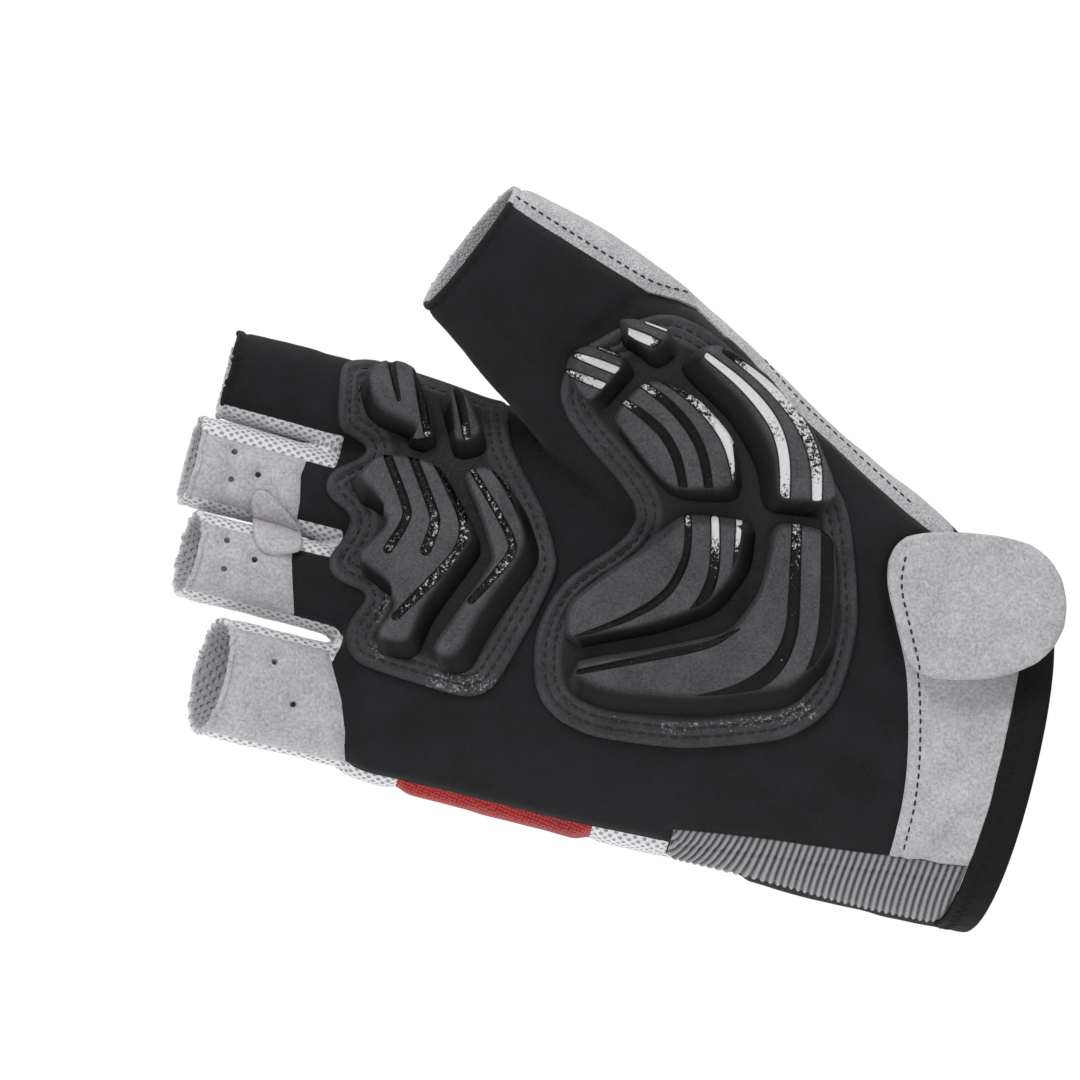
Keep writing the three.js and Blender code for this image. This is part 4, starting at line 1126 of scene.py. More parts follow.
# Heel and knuckle pads: first the stitched backing sheets, in charcoal textured suede, sewn
# round twice near their edges. The moulded blocks stand on them.
heel_outline = outline_of([
    (0.607, 0.69), (0.609, 0.617), (0.576, 0.543), (0.513, 0.454), (0.484, 0.39), (0.504, 0.304),
    (0.548, 0.219), (0.569, 0.098), (0.566, -0.014), (0.544, -0.122), (0.485, -0.165),
    (0.371, -0.137), (0.256, -0.05), (0.212, 0.063), (0.212, 0.268), (0.254, 0.54),
    (0.338, 0.725), (0.441, 0.87), (0.502, 0.905), (0.537, 0.865), (0.568, 0.807), (0.6, 0.74),
])
knuckle_outline = outline_of([
    (0.864, 0.6), (0.848, 0.428), (0.837, 0.414), (0.802, 0.394), (0.842, 0.325), (0.845, 0.285),
    (0.836, 0.25), (0.801, 0.222), (0.82, 0.128), (0.816, 0.084), (0.8, 0.06), (0.763, 0.05),
    (0.784, -0.037), (0.778, -0.092), (0.762, -0.127), (0.648, -0.142), (0.619, -0.139),
    (0.598, -0.097), (0.57, 0.108), (0.56, 0.233), (0.593, 0.356), (0.648, 0.492), (0.672, 0.64),
    (0.77, 0.66),
])


def rounded(outline, reach=3.0, passes=2):
    """An outline with its corners cut round."""
    rows = []
    for index, corner in enumerate(outline):
        before, after = outline[index - 1], outline[(index + 1) % len(outline)]
        for other in (before, after):
            length = np.linalg.norm(other - corner)
            rows.append(corner + (other - corner) * min(reach / length, 0.45))
        rows.insert(-1, (rows[-1] + rows[-2] + corner * 2) / 4)
    result = np.array(rows)
    for _ in range(passes):
        after = np.roll(result, -1, 0)
        result = np.stack([result * 0.75 + after * 0.25, result * 0.25 + after * 0.75], 1).reshape(-1, 2)
    return result


FILL_PASSES = 60  # rays that miss take the depth of their neighbours, this many times over
EVEN_PASSES = 3


def face_map(tree, xs, steps, aim, reach):
    """What rays from outside meet: a smoothed grid of points of the shell and their normals."""
    origins = np.zeros((len(xs), len(steps), 3))
    ways = np.zeros_like(origins)
    depth = np.full(origins.shape[:2], np.nan)
    for row, x in enumerate(xs):
        for column, step in enumerate(steps):
            origins[row, column], ways[row, column] = aim(x, step)
            hit = tree.ray_cast(origins[row, column], ways[row, column], reach)
            if hit[0] is not None:
                depth[row, column] = hit[3]
    for turn in range(FILL_PASSES):
        blank = np.isnan(depth)
        padded = np.pad(depth, 1, mode="edge")
        around = [(down, over) for down in range(3) for over in range(3)]
        near = np.stack([padded[a : a + len(xs), b : b + len(steps)] for a, b in around])
        known = ~np.isnan(near)
        mean = np.where(known, near, 0).sum(0) / np.maximum(known.sum(0), 1)
        mean = np.where(known.any(0), mean, np.nan)
        depth = np.where(blank, mean, depth)
        if turn < EVEN_PASSES:
            depth = np.where(blank, depth, mean)
    depth = np.where(np.isnan(depth), reach, depth)
    surface = origins + ways * depth[..., None]
    normal = unit(np.cross(np.gradient(surface, axis=0), np.gradient(surface, axis=1)))
    normal *= -np.sign((normal * ways).sum(-1, keepdims=True))
    return {"x": xs, "step": steps, "point": surface, "normal": normal}


def on_face(face, places, lift):
    """Points that lie a lift above the shell at places (x, step)."""
    x, step = face["x"], face["step"]
    row = np.clip((places[:, 0] - x[0]) / (x[1] - x[0]), 0, len(x) - 1.001)
    column = np.clip((places[:, 1] - step[0]) / (step[1] - step[0]), 0, len(step) - 1.001)
    i, j = row.astype(int), column.astype(int)
    a, b = (row - i)[:, None], (column - j)[:, None]
    result = []
    for grid in (face["point"], face["normal"]):
        low = grid[i, j] * (1 - b) + grid[i, j + 1] * b
        high = grid[i + 1, j] * (1 - b) + grid[i + 1, j + 1] * b
        result.append(low * (1 - a) + high * a)
    return result[0] + unit(result[1]) * np.reshape(lift, (-1, 1))


STRAIGHT_TO = 36.0  # above this height, the rays for the knuckle pad turn over the index edge
TURN_RADIUS = 15.0


def aim_straight(x, step):
    """Where a ray at the palm starts, and which way it goes."""
    return (x, -100.0, step), (0.0, 1.0, 0.0)


def aim_round_edge(x, step):
    """The same, but the ray turns over the index edge, where steps count round the turn."""
    turn = max(0.0, step - STRAIGHT_TO) / TURN_RADIUS
    way = np.array([0.0, math.cos(turn), -math.sin(turn)])
    centre = np.array([x, 0.5, min(step, STRAIGHT_TO)])
    return centre - way * 32, way


thumb_faces = (field_of(shell_part, "thumb") > 0)[shell_part[1]].all(1)
hand_tree = BVHTree.FromPolygons(shell_part[0].tolist(), shell_part[1][~thumb_faces].tolist())
FACE_CELL = 0.6
palm_face = face_map(
    shell_tree, np.arange(-186, 6, FACE_CELL), np.arange(-46, 104, FACE_CELL), aim_straight, 160
)
knuckle_face = face_map(
    hand_tree, np.arange(-164, -92, FACE_CELL), np.arange(-22, 62, FACE_CELL), aim_round_edge, 34
)


def raised_plate(face, outline, spacing, narrow, shift, profile, top, foot, mid_lift, last_step=None):
    """A closed plate on the shell, inside an outline, with shoulders down to its foot.

    Its top ends a narrow step inside the outline, and further inside on the side it is shifted
    from. The profile gives how far out, and how high on a narrow and on a wide shoulder.
    """

    def inside(places):
        lifted = on_face(face, places, mid_lift)
        gap = outline_distance(lifted[:, [0, 2]], outline)
        return gap if last_step is None else np.minimum(gap, last_step - places[:, 1])

    def outward_at(places):
        slope = np.zeros_like(places)
        for axis in range(2):
            step = np.zeros(2)
            step[axis] = 0.15
            slope[:, axis] = inside(places - step) - inside(places + step)
        return unit(slope)

    low, high = outline.min(0) - 3, outline.max(0) + 3
    if last_step is not None:
        high[1] = last_step + 1
    xs, steps = np.arange(low[0], high[0], spacing), np.arange(low[1], high[1], spacing)
    places = np.stack(np.meshgrid(xs, steps, indexing="ij"), -1).reshape(-1, 2)
    gap = inside(places)
    ahead = inside(places + shift)
    part = (places, grid_faces(len(xs), len(steps)), np.column_stack([gap, ahead]))
    places, faces, data = largest_body(split(part, np.minimum(gap, ahead) - narrow)[0])
    gap = data[:, 0]
    ends = border_of(faces)
    rim = np.unique(ends)
    order = np.zeros(len(places), int)
    order[rim] = np.arange(len(rim))
    count = len(places)
    wide = np.zeros(len(rim))
    if np.any(shift):
        wide = smooth(-0.75, 0.75, data[rim, 0] - data[rim, 1])
    edge = places[rim] + wide[:, None] * shift
    for _ in range(3):
        edge = edge + outward_at(edge) * inside(edge)[:, None]
    rings, painted_shade_sides = [], []
    rim_top = top(places[rim], gap[rim])
    for share_out, narrow_up, wide_up in profile:
        moved = places[rim] + (edge - places[rim]) * share_out
        share_up = narrow_up + (wide_up - narrow_up) * wide
        rings.append(on_face(face, moved, foot + (rim_top - foot) * share_up))
        # Painted shade: the side mark darkens every shoulder somewhat, and the wide, shifted shoulder
        # fully.
        painted_shade_sides.append(smooth(0, 0.4, share_out) * (0.4 + 0.6 * wide))
    plates = [on_face(face, places, lift) for lift in (top(places, gap), foot)]
    every = np.concatenate([*plates, *rings])
    loops = [order[ends] + 2 * count + index * len(rim) for index in range(len(profile))]
    walls = walls_between([ends, *loops, ends + count])
    all_faces = np.concatenate([faces, faces[:, ::-1] + count, *walls])
    marks = {
        "gap": np.concatenate([gap, gap, *[np.zeros(len(rim))] * len(profile)]),
        "side": np.concatenate([np.zeros(count), np.ones(count), *painted_shade_sides]),
    }
    first = every[faces[:, 0]]
    facing = np.cross(every[faces[:, 1]] - first, every[faces[:, 2]] - first).sum(0)
    if facing @ (every[:count].mean(0) - every[count : 2 * count].mean(0)) < 0:
        all_faces = all_faces[:, ::-1]
    return every, all_faces, marks, (places, faces, data)


def rows_along(sheet, inset, pitch):
    """Places along a line that runs a fixed way inside a sheet's edge, a pitch apart."""
    places, faces, _ = largest_body(split(sheet, sheet[2][:, 0] - inset)[0])
    ends = border_of(faces)
    following = dict(ends.tolist())
    chain = [int(ends[0, 0])]
    while following[chain[-1]] != chain[0] and len(chain) <= len(ends):
        chain.append(following[chain[-1]])
    line = places[chain + chain[:1]]
    run = run_along(line)
    at = np.arange(0, run[-1] - pitch / 2, pitch)
    return np.stack([np.interp(at, run, line[:, axis]) for axis in range(2)], -1)


THREAD_RADIUS = 0.24


def threads(starts, ends):
    """Short rounded stitches, each from its start to its end."""
    along = unit(ends - starts)
    side = unit(np.cross(along, np.array([0.13, 1.0, 0.29])))
    third = np.cross(along, side)
    turns = np.arange(6)[:, None] * math.pi / 3
    round_thread = side[:, None] * np.cos(turns) + third[:, None] * np.sin(turns)
    middle, half = (starts + ends) / 2, (ends - starts) / 2
    rings = [
        (middle + half * share)[:, None] + round_thread * THREAD_RADIUS * size
        for share, size in ((-0.92, 0.6), (-0.6, 1.0), (0.6, 1.0), (0.92, 0.6))
    ]
    points = np.concatenate([starts[:, None], *rings, ends[:, None]], 1)
    faces = []
    for turn in range(6):
        after = (turn + 1) % 6
        faces.append((0, 1 + after, 1 + turn))
        faces.append((25, 19 + turn, 19 + after))
        for ring in range(3):
            a, b = 1 + ring * 6 + turn, 1 + ring * 6 + after
            faces += [(a, b, b + 6), (a, b + 6, a + 6)]
    offsets = np.arange(len(starts))[:, None, None] * 26
    return points.reshape(-1, 3), (np.array(faces) + offsets).reshape(-1, 3)


charcoal, tree, shader, where = new_material("Charcoal grained suede sheet")
# Mid-grey grain about 0.4 mm at the sewn margin, smooth near-black between the blocks, and pale creased
# flecks painted near given edges: painted highlights on the sheet's glaze.
trench = add(tree, "Attribute", attribute_name="trench").outputs["Fac"]
sheet_painted_glint = add(tree, "Attribute", attribute_name="painted_glint").outputs["Fac"]
grain = add(tree, "TexNoise", {"Vector": where, "Scale": 1700, "Detail": 3, "Roughness": 0.65})
patches = add(tree, "TexNoise", {"Vector": where, "Scale": 150, "Detail": 2})
mixed = add(tree, "Math", {0: patches, 1: 0.5, 2: grain}, operation="MULTIPLY_ADD")
share = add(tree, "MapRange", {0: mixed, 1: 0.5, 2: 1.0})
colour = add(tree, "Mix", {0: share, 6: "#19181a", 7: "#454347"}, data_type="RGBA")
deep = add(tree, "Mix", {0: trench, 6: colour, 7: "#111012"}, data_type="RGBA")
crease = add(tree, "TexNoise", {"Vector": where, "Scale": 1500, "Detail": 3, "Roughness": 0.7})
painted_glint_level = add(tree, "Math", {0: sheet_painted_glint, 1: 0.2, 2: crease}, operation="MULTIPLY_ADD")
painted_fleck = add(tree, "MapRange", {0: painted_glint_level, 1: 0.73, 2: 0.88})
lit = add(tree, "Mix", {0: painted_fleck, 6: deep, 7: "#a3a2a5"}, data_type="RGBA")
rough = add(tree, "MapRange", {0: grain, 1: 0.3, 2: 0.7, 3: 0.55, 4: 0.8})
bump = add(tree, "Bump", {"Height": grain, "Strength": 0.6, "Distance": 0.0003})
fill(tree, shader, {
    "Base Color": lit, "Roughness": rough, "Normal": bump, "Specular IOR Level": 0.35,
})

black_thread, tree, shader, where = new_material("Black bonded nylon thread")
# Twisted filaments, smoother than the suede: near-black with a low gloss.
twist = add(tree, "TexWave", {"Vector": where, "Scale": 900, "Distortion": 2.0})
colour = add(tree, "Mix", {0: twist.outputs[1], 6: "#08080a", 7: "#1b1a1c"}, data_type="RGBA")
rough = add(tree, "MapRange", {0: twist.outputs[1], 3: 0.45, 4: 0.6})
bump = add(tree, "Bump", {"Height": twist.outputs[1], "Strength": 0.4, "Distance": 0.0001})
fill(tree, shader, {
    "Base Color": colour, "Roughness": rough, "Normal": bump,
})

SHEET_CELL = 0.5
SHEET_FOOT = 0.25
SHEET_TOP = 1.3
SHEET_SHOULDER = 1.2
SHEET_PITCH = 2.3
SHEET_LAST_STEP = 57.0  # where the knuckle pad is cut off at the index edge
stitch_rows = (2.4, 4.3)  # how far in from the edge the rows of stitches run
# Lines near which the sheets carry painted highlights: pale flecks that stand in for the lamps caught in
# their glaze.
painted_glint_edges = {
    "heel": [
        np.array([(-86.5, -1.0), (-83.0, -6.5)]), np.array([(-72.0, -6.9), (-44.6, 3.0)]),
        np.array([(-88.0, 8.0), (-87.5, 4.0)]),
    ],
    "knuckle": [np.array([(-134.6, 2.5), (-133.6, -6.5)]), np.array([(-121.0, -10.0), (-110.5, -8.5)])],
}


def sheet_top(places, gap):
    """Height of a backing sheet: puffed between its rows of stitches."""
    height = SHEET_TOP + 0.3 * smooth(0, 1.2, gap)
    for row in stitch_rows:
        height = height - 0.55 * hill(gap, row, 0.5)
    return height


edge_profile = [(0.3, 0.95, 0.95), (0.6, 0.78, 0.78), (0.85, 0.5, 0.5), (1.0, 0.0, 0.0)]
for name, face, outline, last_step in (
    ("heel", palm_face, rounded(heel_outline, 5), None),
    ("knuckle", knuckle_face, rounded(knuckle_outline, 3), SHEET_LAST_STEP),
):
    every, all_faces, marks, sheet = raised_plate(
        face, outline, SHEET_CELL, SHEET_SHOULDER, np.zeros(2), edge_profile,
        sheet_top, SHEET_FOOT, SHEET_TOP, last_step,
    )
    marks["trench"] = smooth(5.2, 6.4, marks["gap"])
    near = np.min([line_gap(every[:, [0, 2]], line) for line in painted_glint_edges[name]], axis=0)
    marks["painted_glint"] = smooth(4.5, 1.0, near) * (1 - marks["trench"])
    nodes = [name + "_pad_backing"]
    piece = add_piece(name + "_pad_sheet", every, all_faces, marks, charcoal, nodes, "pad_sheet")
    starts, ends = [], []
    for row in stitch_rows:
        line = rows_along(sheet, row, SHEET_PITCH)
        after = np.roll(line, -1, 0)
        low_height = sheet_top(line, np.full(len(line), row)) + 0.1
        starts.append(on_face(face, line * 0.93 + after * 0.07, low_height))
        ends.append(on_face(face, line * 0.24 + after * 0.76, low_height))
    sewn = threads(np.concatenate(starts), np.concatenate(ends))
    add_piece(name + "_pad_stitches", *sewn, {}, black_thread, [], "pad_sheet")

# Pad blocks: foam covered in charcoal suede, each with soft sides and with smooth glossy
# channels pressed into its top. Outlines are in shares of the glove, channels in millimetres.
BLOCK_CELL = 0.36
BLOCK_FOOT = 1.4
BLOCK_TOP = 5.6
BLOCK_SHOULDER = 1.5
BLOCK_LAST_STEP = 53.5
block_outlines = {
    "thenar_block_1": [
        (0.607, 0.687), (0.6, 0.734), (0.583, 0.761), (0.542, 0.762), (0.528, 0.736),
        (0.542, 0.68), (0.558, 0.612), (0.572, 0.616), (0.593, 0.646),
    ],
    "thenar_block_2": [
        (0.566, 0.792), (0.558, 0.838), (0.54, 0.862), (0.494, 0.859), (0.474, 0.845),
        (0.491, 0.79), (0.507, 0.75), (0.53, 0.775),
    ],
    "thenar_block_3": [
        (0.534, 0.668), (0.522, 0.707), (0.506, 0.73), (0.451, 0.713), (0.4, 0.636), (0.378, 0.518),
        (0.384, 0.474), (0.45, 0.436), (0.476, 0.461), (0.538, 0.568), (0.548, 0.6),
    ],
    "thenar_block_4": [
        (0.482, 0.765), (0.473, 0.832), (0.44, 0.862), (0.38, 0.817), (0.318, 0.724), (0.277, 0.6),
        (0.267, 0.545), (0.27, 0.505), (0.352, 0.47), (0.368, 0.579), (0.41, 0.68),
    ],
    "heel_block_1": [
        (0.445, 0.404), (0.417, 0.425), (0.367, 0.44), (0.353, 0.425), (0.35, 0.305), (0.372, 0.209),
        (0.43, 0.129), (0.523, 0.036), (0.534, 0.045), (0.545, 0.145), (0.504, 0.255), (0.456, 0.363),
    ],
    "heel_block_2": [
        (0.338, 0.447), (0.32, 0.468), (0.266, 0.474), (0.244, 0.323), (0.233, 0.141), (0.265, 0.027),
        (0.361, -0.053), (0.469, -0.095), (0.521, -0.072), (0.526, 0.006), (0.438, 0.087),
        (0.353, 0.175), (0.334, 0.29),
    ],
    "knuckle_block_1": [
        (0.837, 0.592), (0.812, 0.64), (0.772, 0.635), (0.747, 0.54), (0.731, 0.445),
        (0.74, 0.428), (0.803, 0.442), (0.823, 0.485),
    ],
    "knuckle_block_2": [
        (0.74, 0.576), (0.735, 0.61), (0.722, 0.622), (0.698, 0.57), (0.675, 0.49), (0.68, 0.461),
        (0.707, 0.426), (0.718, 0.462),
    ],
    "knuckle_block_3": [
        (0.797, 0.4), (0.755, 0.412), (0.722, 0.407), (0.672, 0.285), (0.652, 0.227), (0.654, 0.202),
        (0.689, 0.014), (0.692, -0.082), (0.742, -0.091), (0.752, -0.045), (0.73, 0.05),
        (0.781, 0.09), (0.797, 0.132), (0.761, 0.241), (0.801, 0.262), (0.815, 0.301), (0.809, 0.35),
    ],
    "knuckle_block_4": [
        (0.7, 0.398), (0.679, 0.428), (0.66, 0.432), (0.617, 0.356), (0.586, 0.257), (0.588, 0.206),
        (0.62, 0.025), (0.631, -0.09), (0.666, -0.096), (0.681, -0.078), (0.681, -0.033),
        (0.639, 0.196), (0.641, 0.221), (0.668, 0.314),
    ],
}
# Which way, and how far, each block's wide side slopes in the X-Z plane.
wide_sides = {
    "thenar_block_1": (3.2, -1.5), "thenar_block_2": (2.6, -2.4), "thenar_block_3": (1.5, -2.6),
    "thenar_block_4": (-2.2, -2.8), "heel_block_1": (2.4, -0.8), "heel_block_2": (0.8, -4.4),
    "knuckle_block_1": (1.0, -4.0), "knuckle_block_2": (0.8, -3.2), "knuckle_block_3": (2.0, -2.8),
    "knuckle_block_4": (3.0, -2.8),
}
# Each channel's points: X, Z, width, and how strongly a painted white reflection glints there.
channels = {
    "thenar_block_1": [
        [(-109.2, 62.3, 1.6, 0.4), (-104.5, 61.9, 2.3, 1), (-98.6, 61.2, 2.3, 1)],
        [(-110.0, 58.6, 1.6, 0.4), (-106.0, 58.1, 2.2, 0.5), (-100.9, 57.4, 2.2, 1)],
        [(-105.0, 65.0, 1.0, 0.4), (-98.0, 64.3, 1.0, 0.5)],
    ],
    "thenar_block_2": [
        [(-96.6, 72.7, 1.5, 1), (-91.0, 72.0, 1.4, 1)],
        [(-100.3, 69.6, 2.4, 1), (-96.5, 69.2, 2.6, 1), (-92.4, 68.5, 2.4, 0)],
    ],
    "thenar_block_3": [
        [
            (-91.5, 62.2, 1.6, 0), (-84.5, 60.1, 2.4, 0.4), (-78.5, 56.8, 3.2, 0.5),
            (-74.5, 53.3, 3.4, 1), (-71.6, 48.6, 3.4, 0.5), (-69.8, 43.8, 3.2, 0.4),
        ],
        [
            (-94.3, 59.8, 1.8, 0.5), (-88.6, 57.6, 2.1, 0), (-82.9, 53.8, 2.2, 0),
            (-78.7, 49.0, 2.1, 0), (-75.7, 41.7, 1.9, 0),
        ],
        [
            (-97.4, 55.6, 1.6, 0.5), (-91.9, 53.5, 2.1, 0), (-86.9, 50.6, 2.2, 0),
            (-83.0, 45.7, 2.1, 0), (-80.6, 39.9, 1.9, 0),
        ],
    ],
    "thenar_block_4": [
        [
            (-83.0, 68.9, 1.9, 1), (-75.4, 65.6, 2.4, 1), (-69.3, 61.7, 2.8, 1),
            (-65.0, 57.6, 2.8, 0.5), (-62.1, 52.0, 2.8, 1), (-60.3, 44.0, 2.6, 0.4),
        ],
        [
            (-79.5, 70.8, 1.4, 0), (-71.2, 67.5, 2.2, 1), (-65.2, 63.9, 2.6, 0.5),
            (-61.0, 60.6, 2.9, 0.5), (-57.3, 56.0, 2.9, 0.4), (-55.2, 51.6, 2.9, 0.4),
            (-53.8, 45.6, 2.6, 1),
        ],
    ],
    "heel_block_1": [
        [
            (-78.7, 35.7, 1.6, 0.4), (-77.2, 30.3, 1.6, 0), (-77.0, 25.0, 1.9, 0),
            (-79.2, 18.3, 2.0, 0), (-86.4, 11.6, 1.6, 0), (-95.2, 5.9, 0.9, 0),
        ],
        [
            (-73.2, 36.6, 2.2, 1), (-71.4, 30.2, 2.2, 0.3), (-70.4, 23.8, 2.4, 0),
            (-71.9, 17.4, 2.6, 0), (-77.4, 11.5, 0.4, 0),
        ],
        [(-67.8, 37.6, 2.8, 1), (-66.9, 31.6, 2.2, 0.3), (-66.2, 26.1, 1.6, 0), (-66.3, 20.7, 0.4, 0)],
    ],
    "heel_block_2": [
        [
            (-56.6, 39.4, 2.2, 0.4), (-53.5, 25.2, 2.6, 0), (-51.9, 17.3, 2.8, 0),
            (-53.0, 10.4, 3.4, 0), (-57.1, 5.0, 3.6, 0), (-62.9, 1.4, 2.4, 0), (-72.0, -1.6, 0.3, 0),
        ],
        [
            (-50.2, 39.9, 2.6, 0), (-46.9, 26.8, 3.0, 0), (-45.4, 19.0, 3.0, 0), (-45.5, 12.3, 2.8, 0),
            (-48.4, 5.7, 0.4, 0),
        ],
        [
            (-62.6, 15.8, 0.5, 0), (-67.1, 11.4, 1.6, 0), (-74.5, 7.8, 1.9, 0), (-81.8, 4.3, 1.6, 0),
            (-93.6, -1.3, 1.2, 0),
        ],
    ],
    "knuckle_block_1": [
        [(-147.6, 55.0, 1.8, 0), (-146.1, 51.4, 1.8, 0), (-143.0, 45.1, 1.0, 0)],
        [
            (-141.8, 55.0, 2.1, 0), (-140.9, 52.3, 2.1, 0), (-137.3, 43.9, 2.0, 0),
            (-135.4, 39.6, 1.8, 0.4),
        ],
    ],
    "knuckle_block_2": [
        [(-133.4, 53.0, 1.9, 0), (-129.9, 47.2, 2.0, 0), (-127.2, 40.8, 1.8, 0.4)],
    ],
    "knuckle_block_3": [
        [
            (-142.7, 33.5, 1.9, 0.1), (-136.1, 24.3, 2.0, 0.1), (-135.0, 21.3, 2.0, 0.15),
            (-137.5, 14.2, 2.1, 0.2),
        ],
        [
            (-137.6, 34.7, 2.0, 0.05), (-130.4, 24.6, 2.1, 0.2), (-129.0, 21.7, 2.4, 0.3),
            (-129.8, 15.9, 2.4, 0.25),
        ],
        [
            (-132.1, 34.4, 2.0, 0.1), (-125.5, 26.9, 2.2, 0.15), (-122.6, 22.2, 2.4, 0.3),
            (-123.0, 16.7, 2.4, 0.3), (-127.6, 9.1, 2.2, 0.3), (-132.5, 1.0, 1.8, 0.25),
        ],
    ],
    "knuckle_block_4": [
        [
            (-124.7, 34.7, 1.4, 0.3), (-117.7, 27.8, 1.6, 0.3), (-113.3, 23.0, 1.8, 0.25),
            (-111.9, 20.1, 2.0, 0.25), (-114.0, 15.3, 2.0, 0.3), (-118.0, 8.0, 1.6, 0.1),
        ],
        [
            (-120.8, 36.7, 1.6, 0.2), (-115.5, 32.0, 1.8, 0.3), (-110.0, 25.4, 2.0, 0.35),
            (-108.7, 20.3, 2.2, 0.4), (-112.6, 12.0, 2.2, 0.2),
        ],
    ],
}
CHANNEL_DEPTH = 0.6


def channel_marks(places, lines):
    """How far inside a channel places lie, and how strong its painted white reflection is there."""
    depth, painted_glint_at = np.full(len(places), -9.0), np.zeros(len(places))
    for line in lines:
        for a, b in zip(line, line[1:]):
            run = b[:2] - a[:2]
            share = np.clip(((places - a[:2]) @ run) / (run @ run), 0, 1)
            gap = np.linalg.norm(places - a[:2] - share[:, None] * run, axis=1)
            width, painted_shine = (a[2:] + (b[2:] - a[2:]) * share[:, None]).T
            nearer = width / 2 - gap > depth
            depth = np.where(nearer, width / 2 - gap, depth)
            painted_glint_at = np.where(nearer, painted_shine, painted_glint_at)
    return depth, painted_glint_at


block_suede, tree, shader, where = new_material("Moulded charcoal suede with glossy channels")
# Suede flocked tops; sides painted near-black as painted shade, partly on every side and fully on each
# block's wide side; black gloss channels with painted white reflections in crackled flecks.
side = add(tree, "Attribute", attribute_name="side").outputs["Fac"]
channel = add(tree, "Attribute", attribute_name="channel").outputs["Fac"]
painted_glint = add(tree, "Attribute", attribute_name="painted_glint").outputs["Fac"]
grain = add(tree, "TexNoise", {"Vector": where, "Scale": 1900, "Detail": 3, "Roughness": 0.65})
patches = add(tree, "TexNoise", {"Vector": where, "Scale": 130, "Detail": 2})
mixed = add(tree, "Math", {0: patches, 1: 0.5, 2: grain}, operation="MULTIPLY_ADD")
share = add(tree, "MapRange", {0: mixed, 1: 0.5, 2: 1.0})
colour = add(tree, "Mix", {0: share, 6: "#353437", 7: "#5b595d"}, data_type="RGBA")
# Painted shade on the blocks' sides, darkest on their wide sides.
colour_with_painted_shade = add(tree, "Mix", {0: side, 6: colour, 7: "#0d0c0e"}, data_type="RGBA")
# Painted reflection: white crackled flecks in the middles of the channels, standing in for the lamps
# mirrored in the gloss.
crackle = add(tree, "TexNoise", {"Vector": where, "Scale": 1300, "Detail": 4, "Roughness": 0.75})
painted_glint_level = add(tree, "Math", {0: painted_glint, 1: 0.5, 2: crackle}, operation="MULTIPLY_ADD")
painted_flake = add(tree, "MapRange", {0: painted_glint_level, 1: 0.68, 2: 0.78})
middle = add(tree, "MapRange", {0: channel, 1: 0.25, 2: 0.45})
painted_glint_mask = add(tree, "Math", {0: painted_flake, 1: middle}, operation="MULTIPLY")
lacquer_and_painted_glints = add(tree, "Mix", {0: painted_glint_mask, 6: "#020202", 7: "#dcdbdd"}, data_type="RGBA")
groove = add(tree, "MapRange", {0: channel, 1: -0.08, 2: 0.08})
top = add(tree, "Mix", {0: groove, 6: colour_with_painted_shade, 7: lacquer_and_painted_glints}, data_type="RGBA")
matt = add(tree, "MapRange", {0: side, 3: 0.85, 4: 0.6})
rough = add(tree, "Mix", {0: groove, 2: matt, 3: 0.22}, data_type="FLOAT")
soft = add(tree, "Bump", {"Height": grain, "Strength": 0.4, "Distance": 0.0003})
crinkle = add(tree, "Bump", {"Height": crackle, "Strength": groove, "Distance": 0.0003, "Normal": soft})
fill(tree, shader, {
    "Base Color": top, "Roughness": rough, "Normal": crinkle, "Specular IOR Level": 0.2,
})

# How far out on a side, and how high there on a narrow side and on a wide one.
block_profile = [
    (0.1, 0.995, 0.985), (0.2, 0.98, 0.95), (0.32, 0.955, 0.89), (0.44, 0.91, 0.8), (0.56, 0.84, 0.68),
    (0.68, 0.75, 0.53), (0.78, 0.64, 0.39), (0.87, 0.5, 0.25), (0.94, 0.33, 0.12), (1.0, 0.0, 0.0),
]
for name, corners in block_outlines.items():
    on_knuckle = name.startswith("knuckle")
    face = knuckle_face if on_knuckle else palm_face
    lines = [curved(np.array(rows)) for rows in channels[name]]

    def block_top(places, gap):
        """Height of a block's top, with its channels pressed in."""
        inside = channel_marks(on_face(face, places, BLOCK_TOP)[:, [0, 2]], lines)[0]
        return BLOCK_TOP - CHANNEL_DEPTH * smooth(-0.1, 0.6, inside)

    every, all_faces, marks, _ = raised_plate(
        face, rounded(outline_of(corners), 3), BLOCK_CELL, BLOCK_SHOULDER, np.array(wide_sides[name]),
        block_profile, block_top, BLOCK_FOOT, BLOCK_TOP, BLOCK_LAST_STEP if on_knuckle else None,
    )
    inside, marks["painted_glint"] = channel_marks(every[:, [0, 2]], lines)
    marks["channel"] = inside - 3 * smooth(0.45, 0.95, marks["side"])
    piece = add_piece(name + "_foam", every, all_faces, marks, block_suede, [name], "pad_foam")

# Wrist tab: a free leaf of grey suede over the heel of the hand, sewn down along the cuff seam,
# for pulling the glove on. The pull tab is a small one between two fingers.
TAB_WALL = 1.3
TAB_LIFT = 1.6
TAB_CELL = 0.6
TAB_SHOULDER = 0.9
PULL_TOP = 1.5
PULL_FOOT = 0.3
PULL_CELL = 0.5
PULL_SHOULDER = 0.7


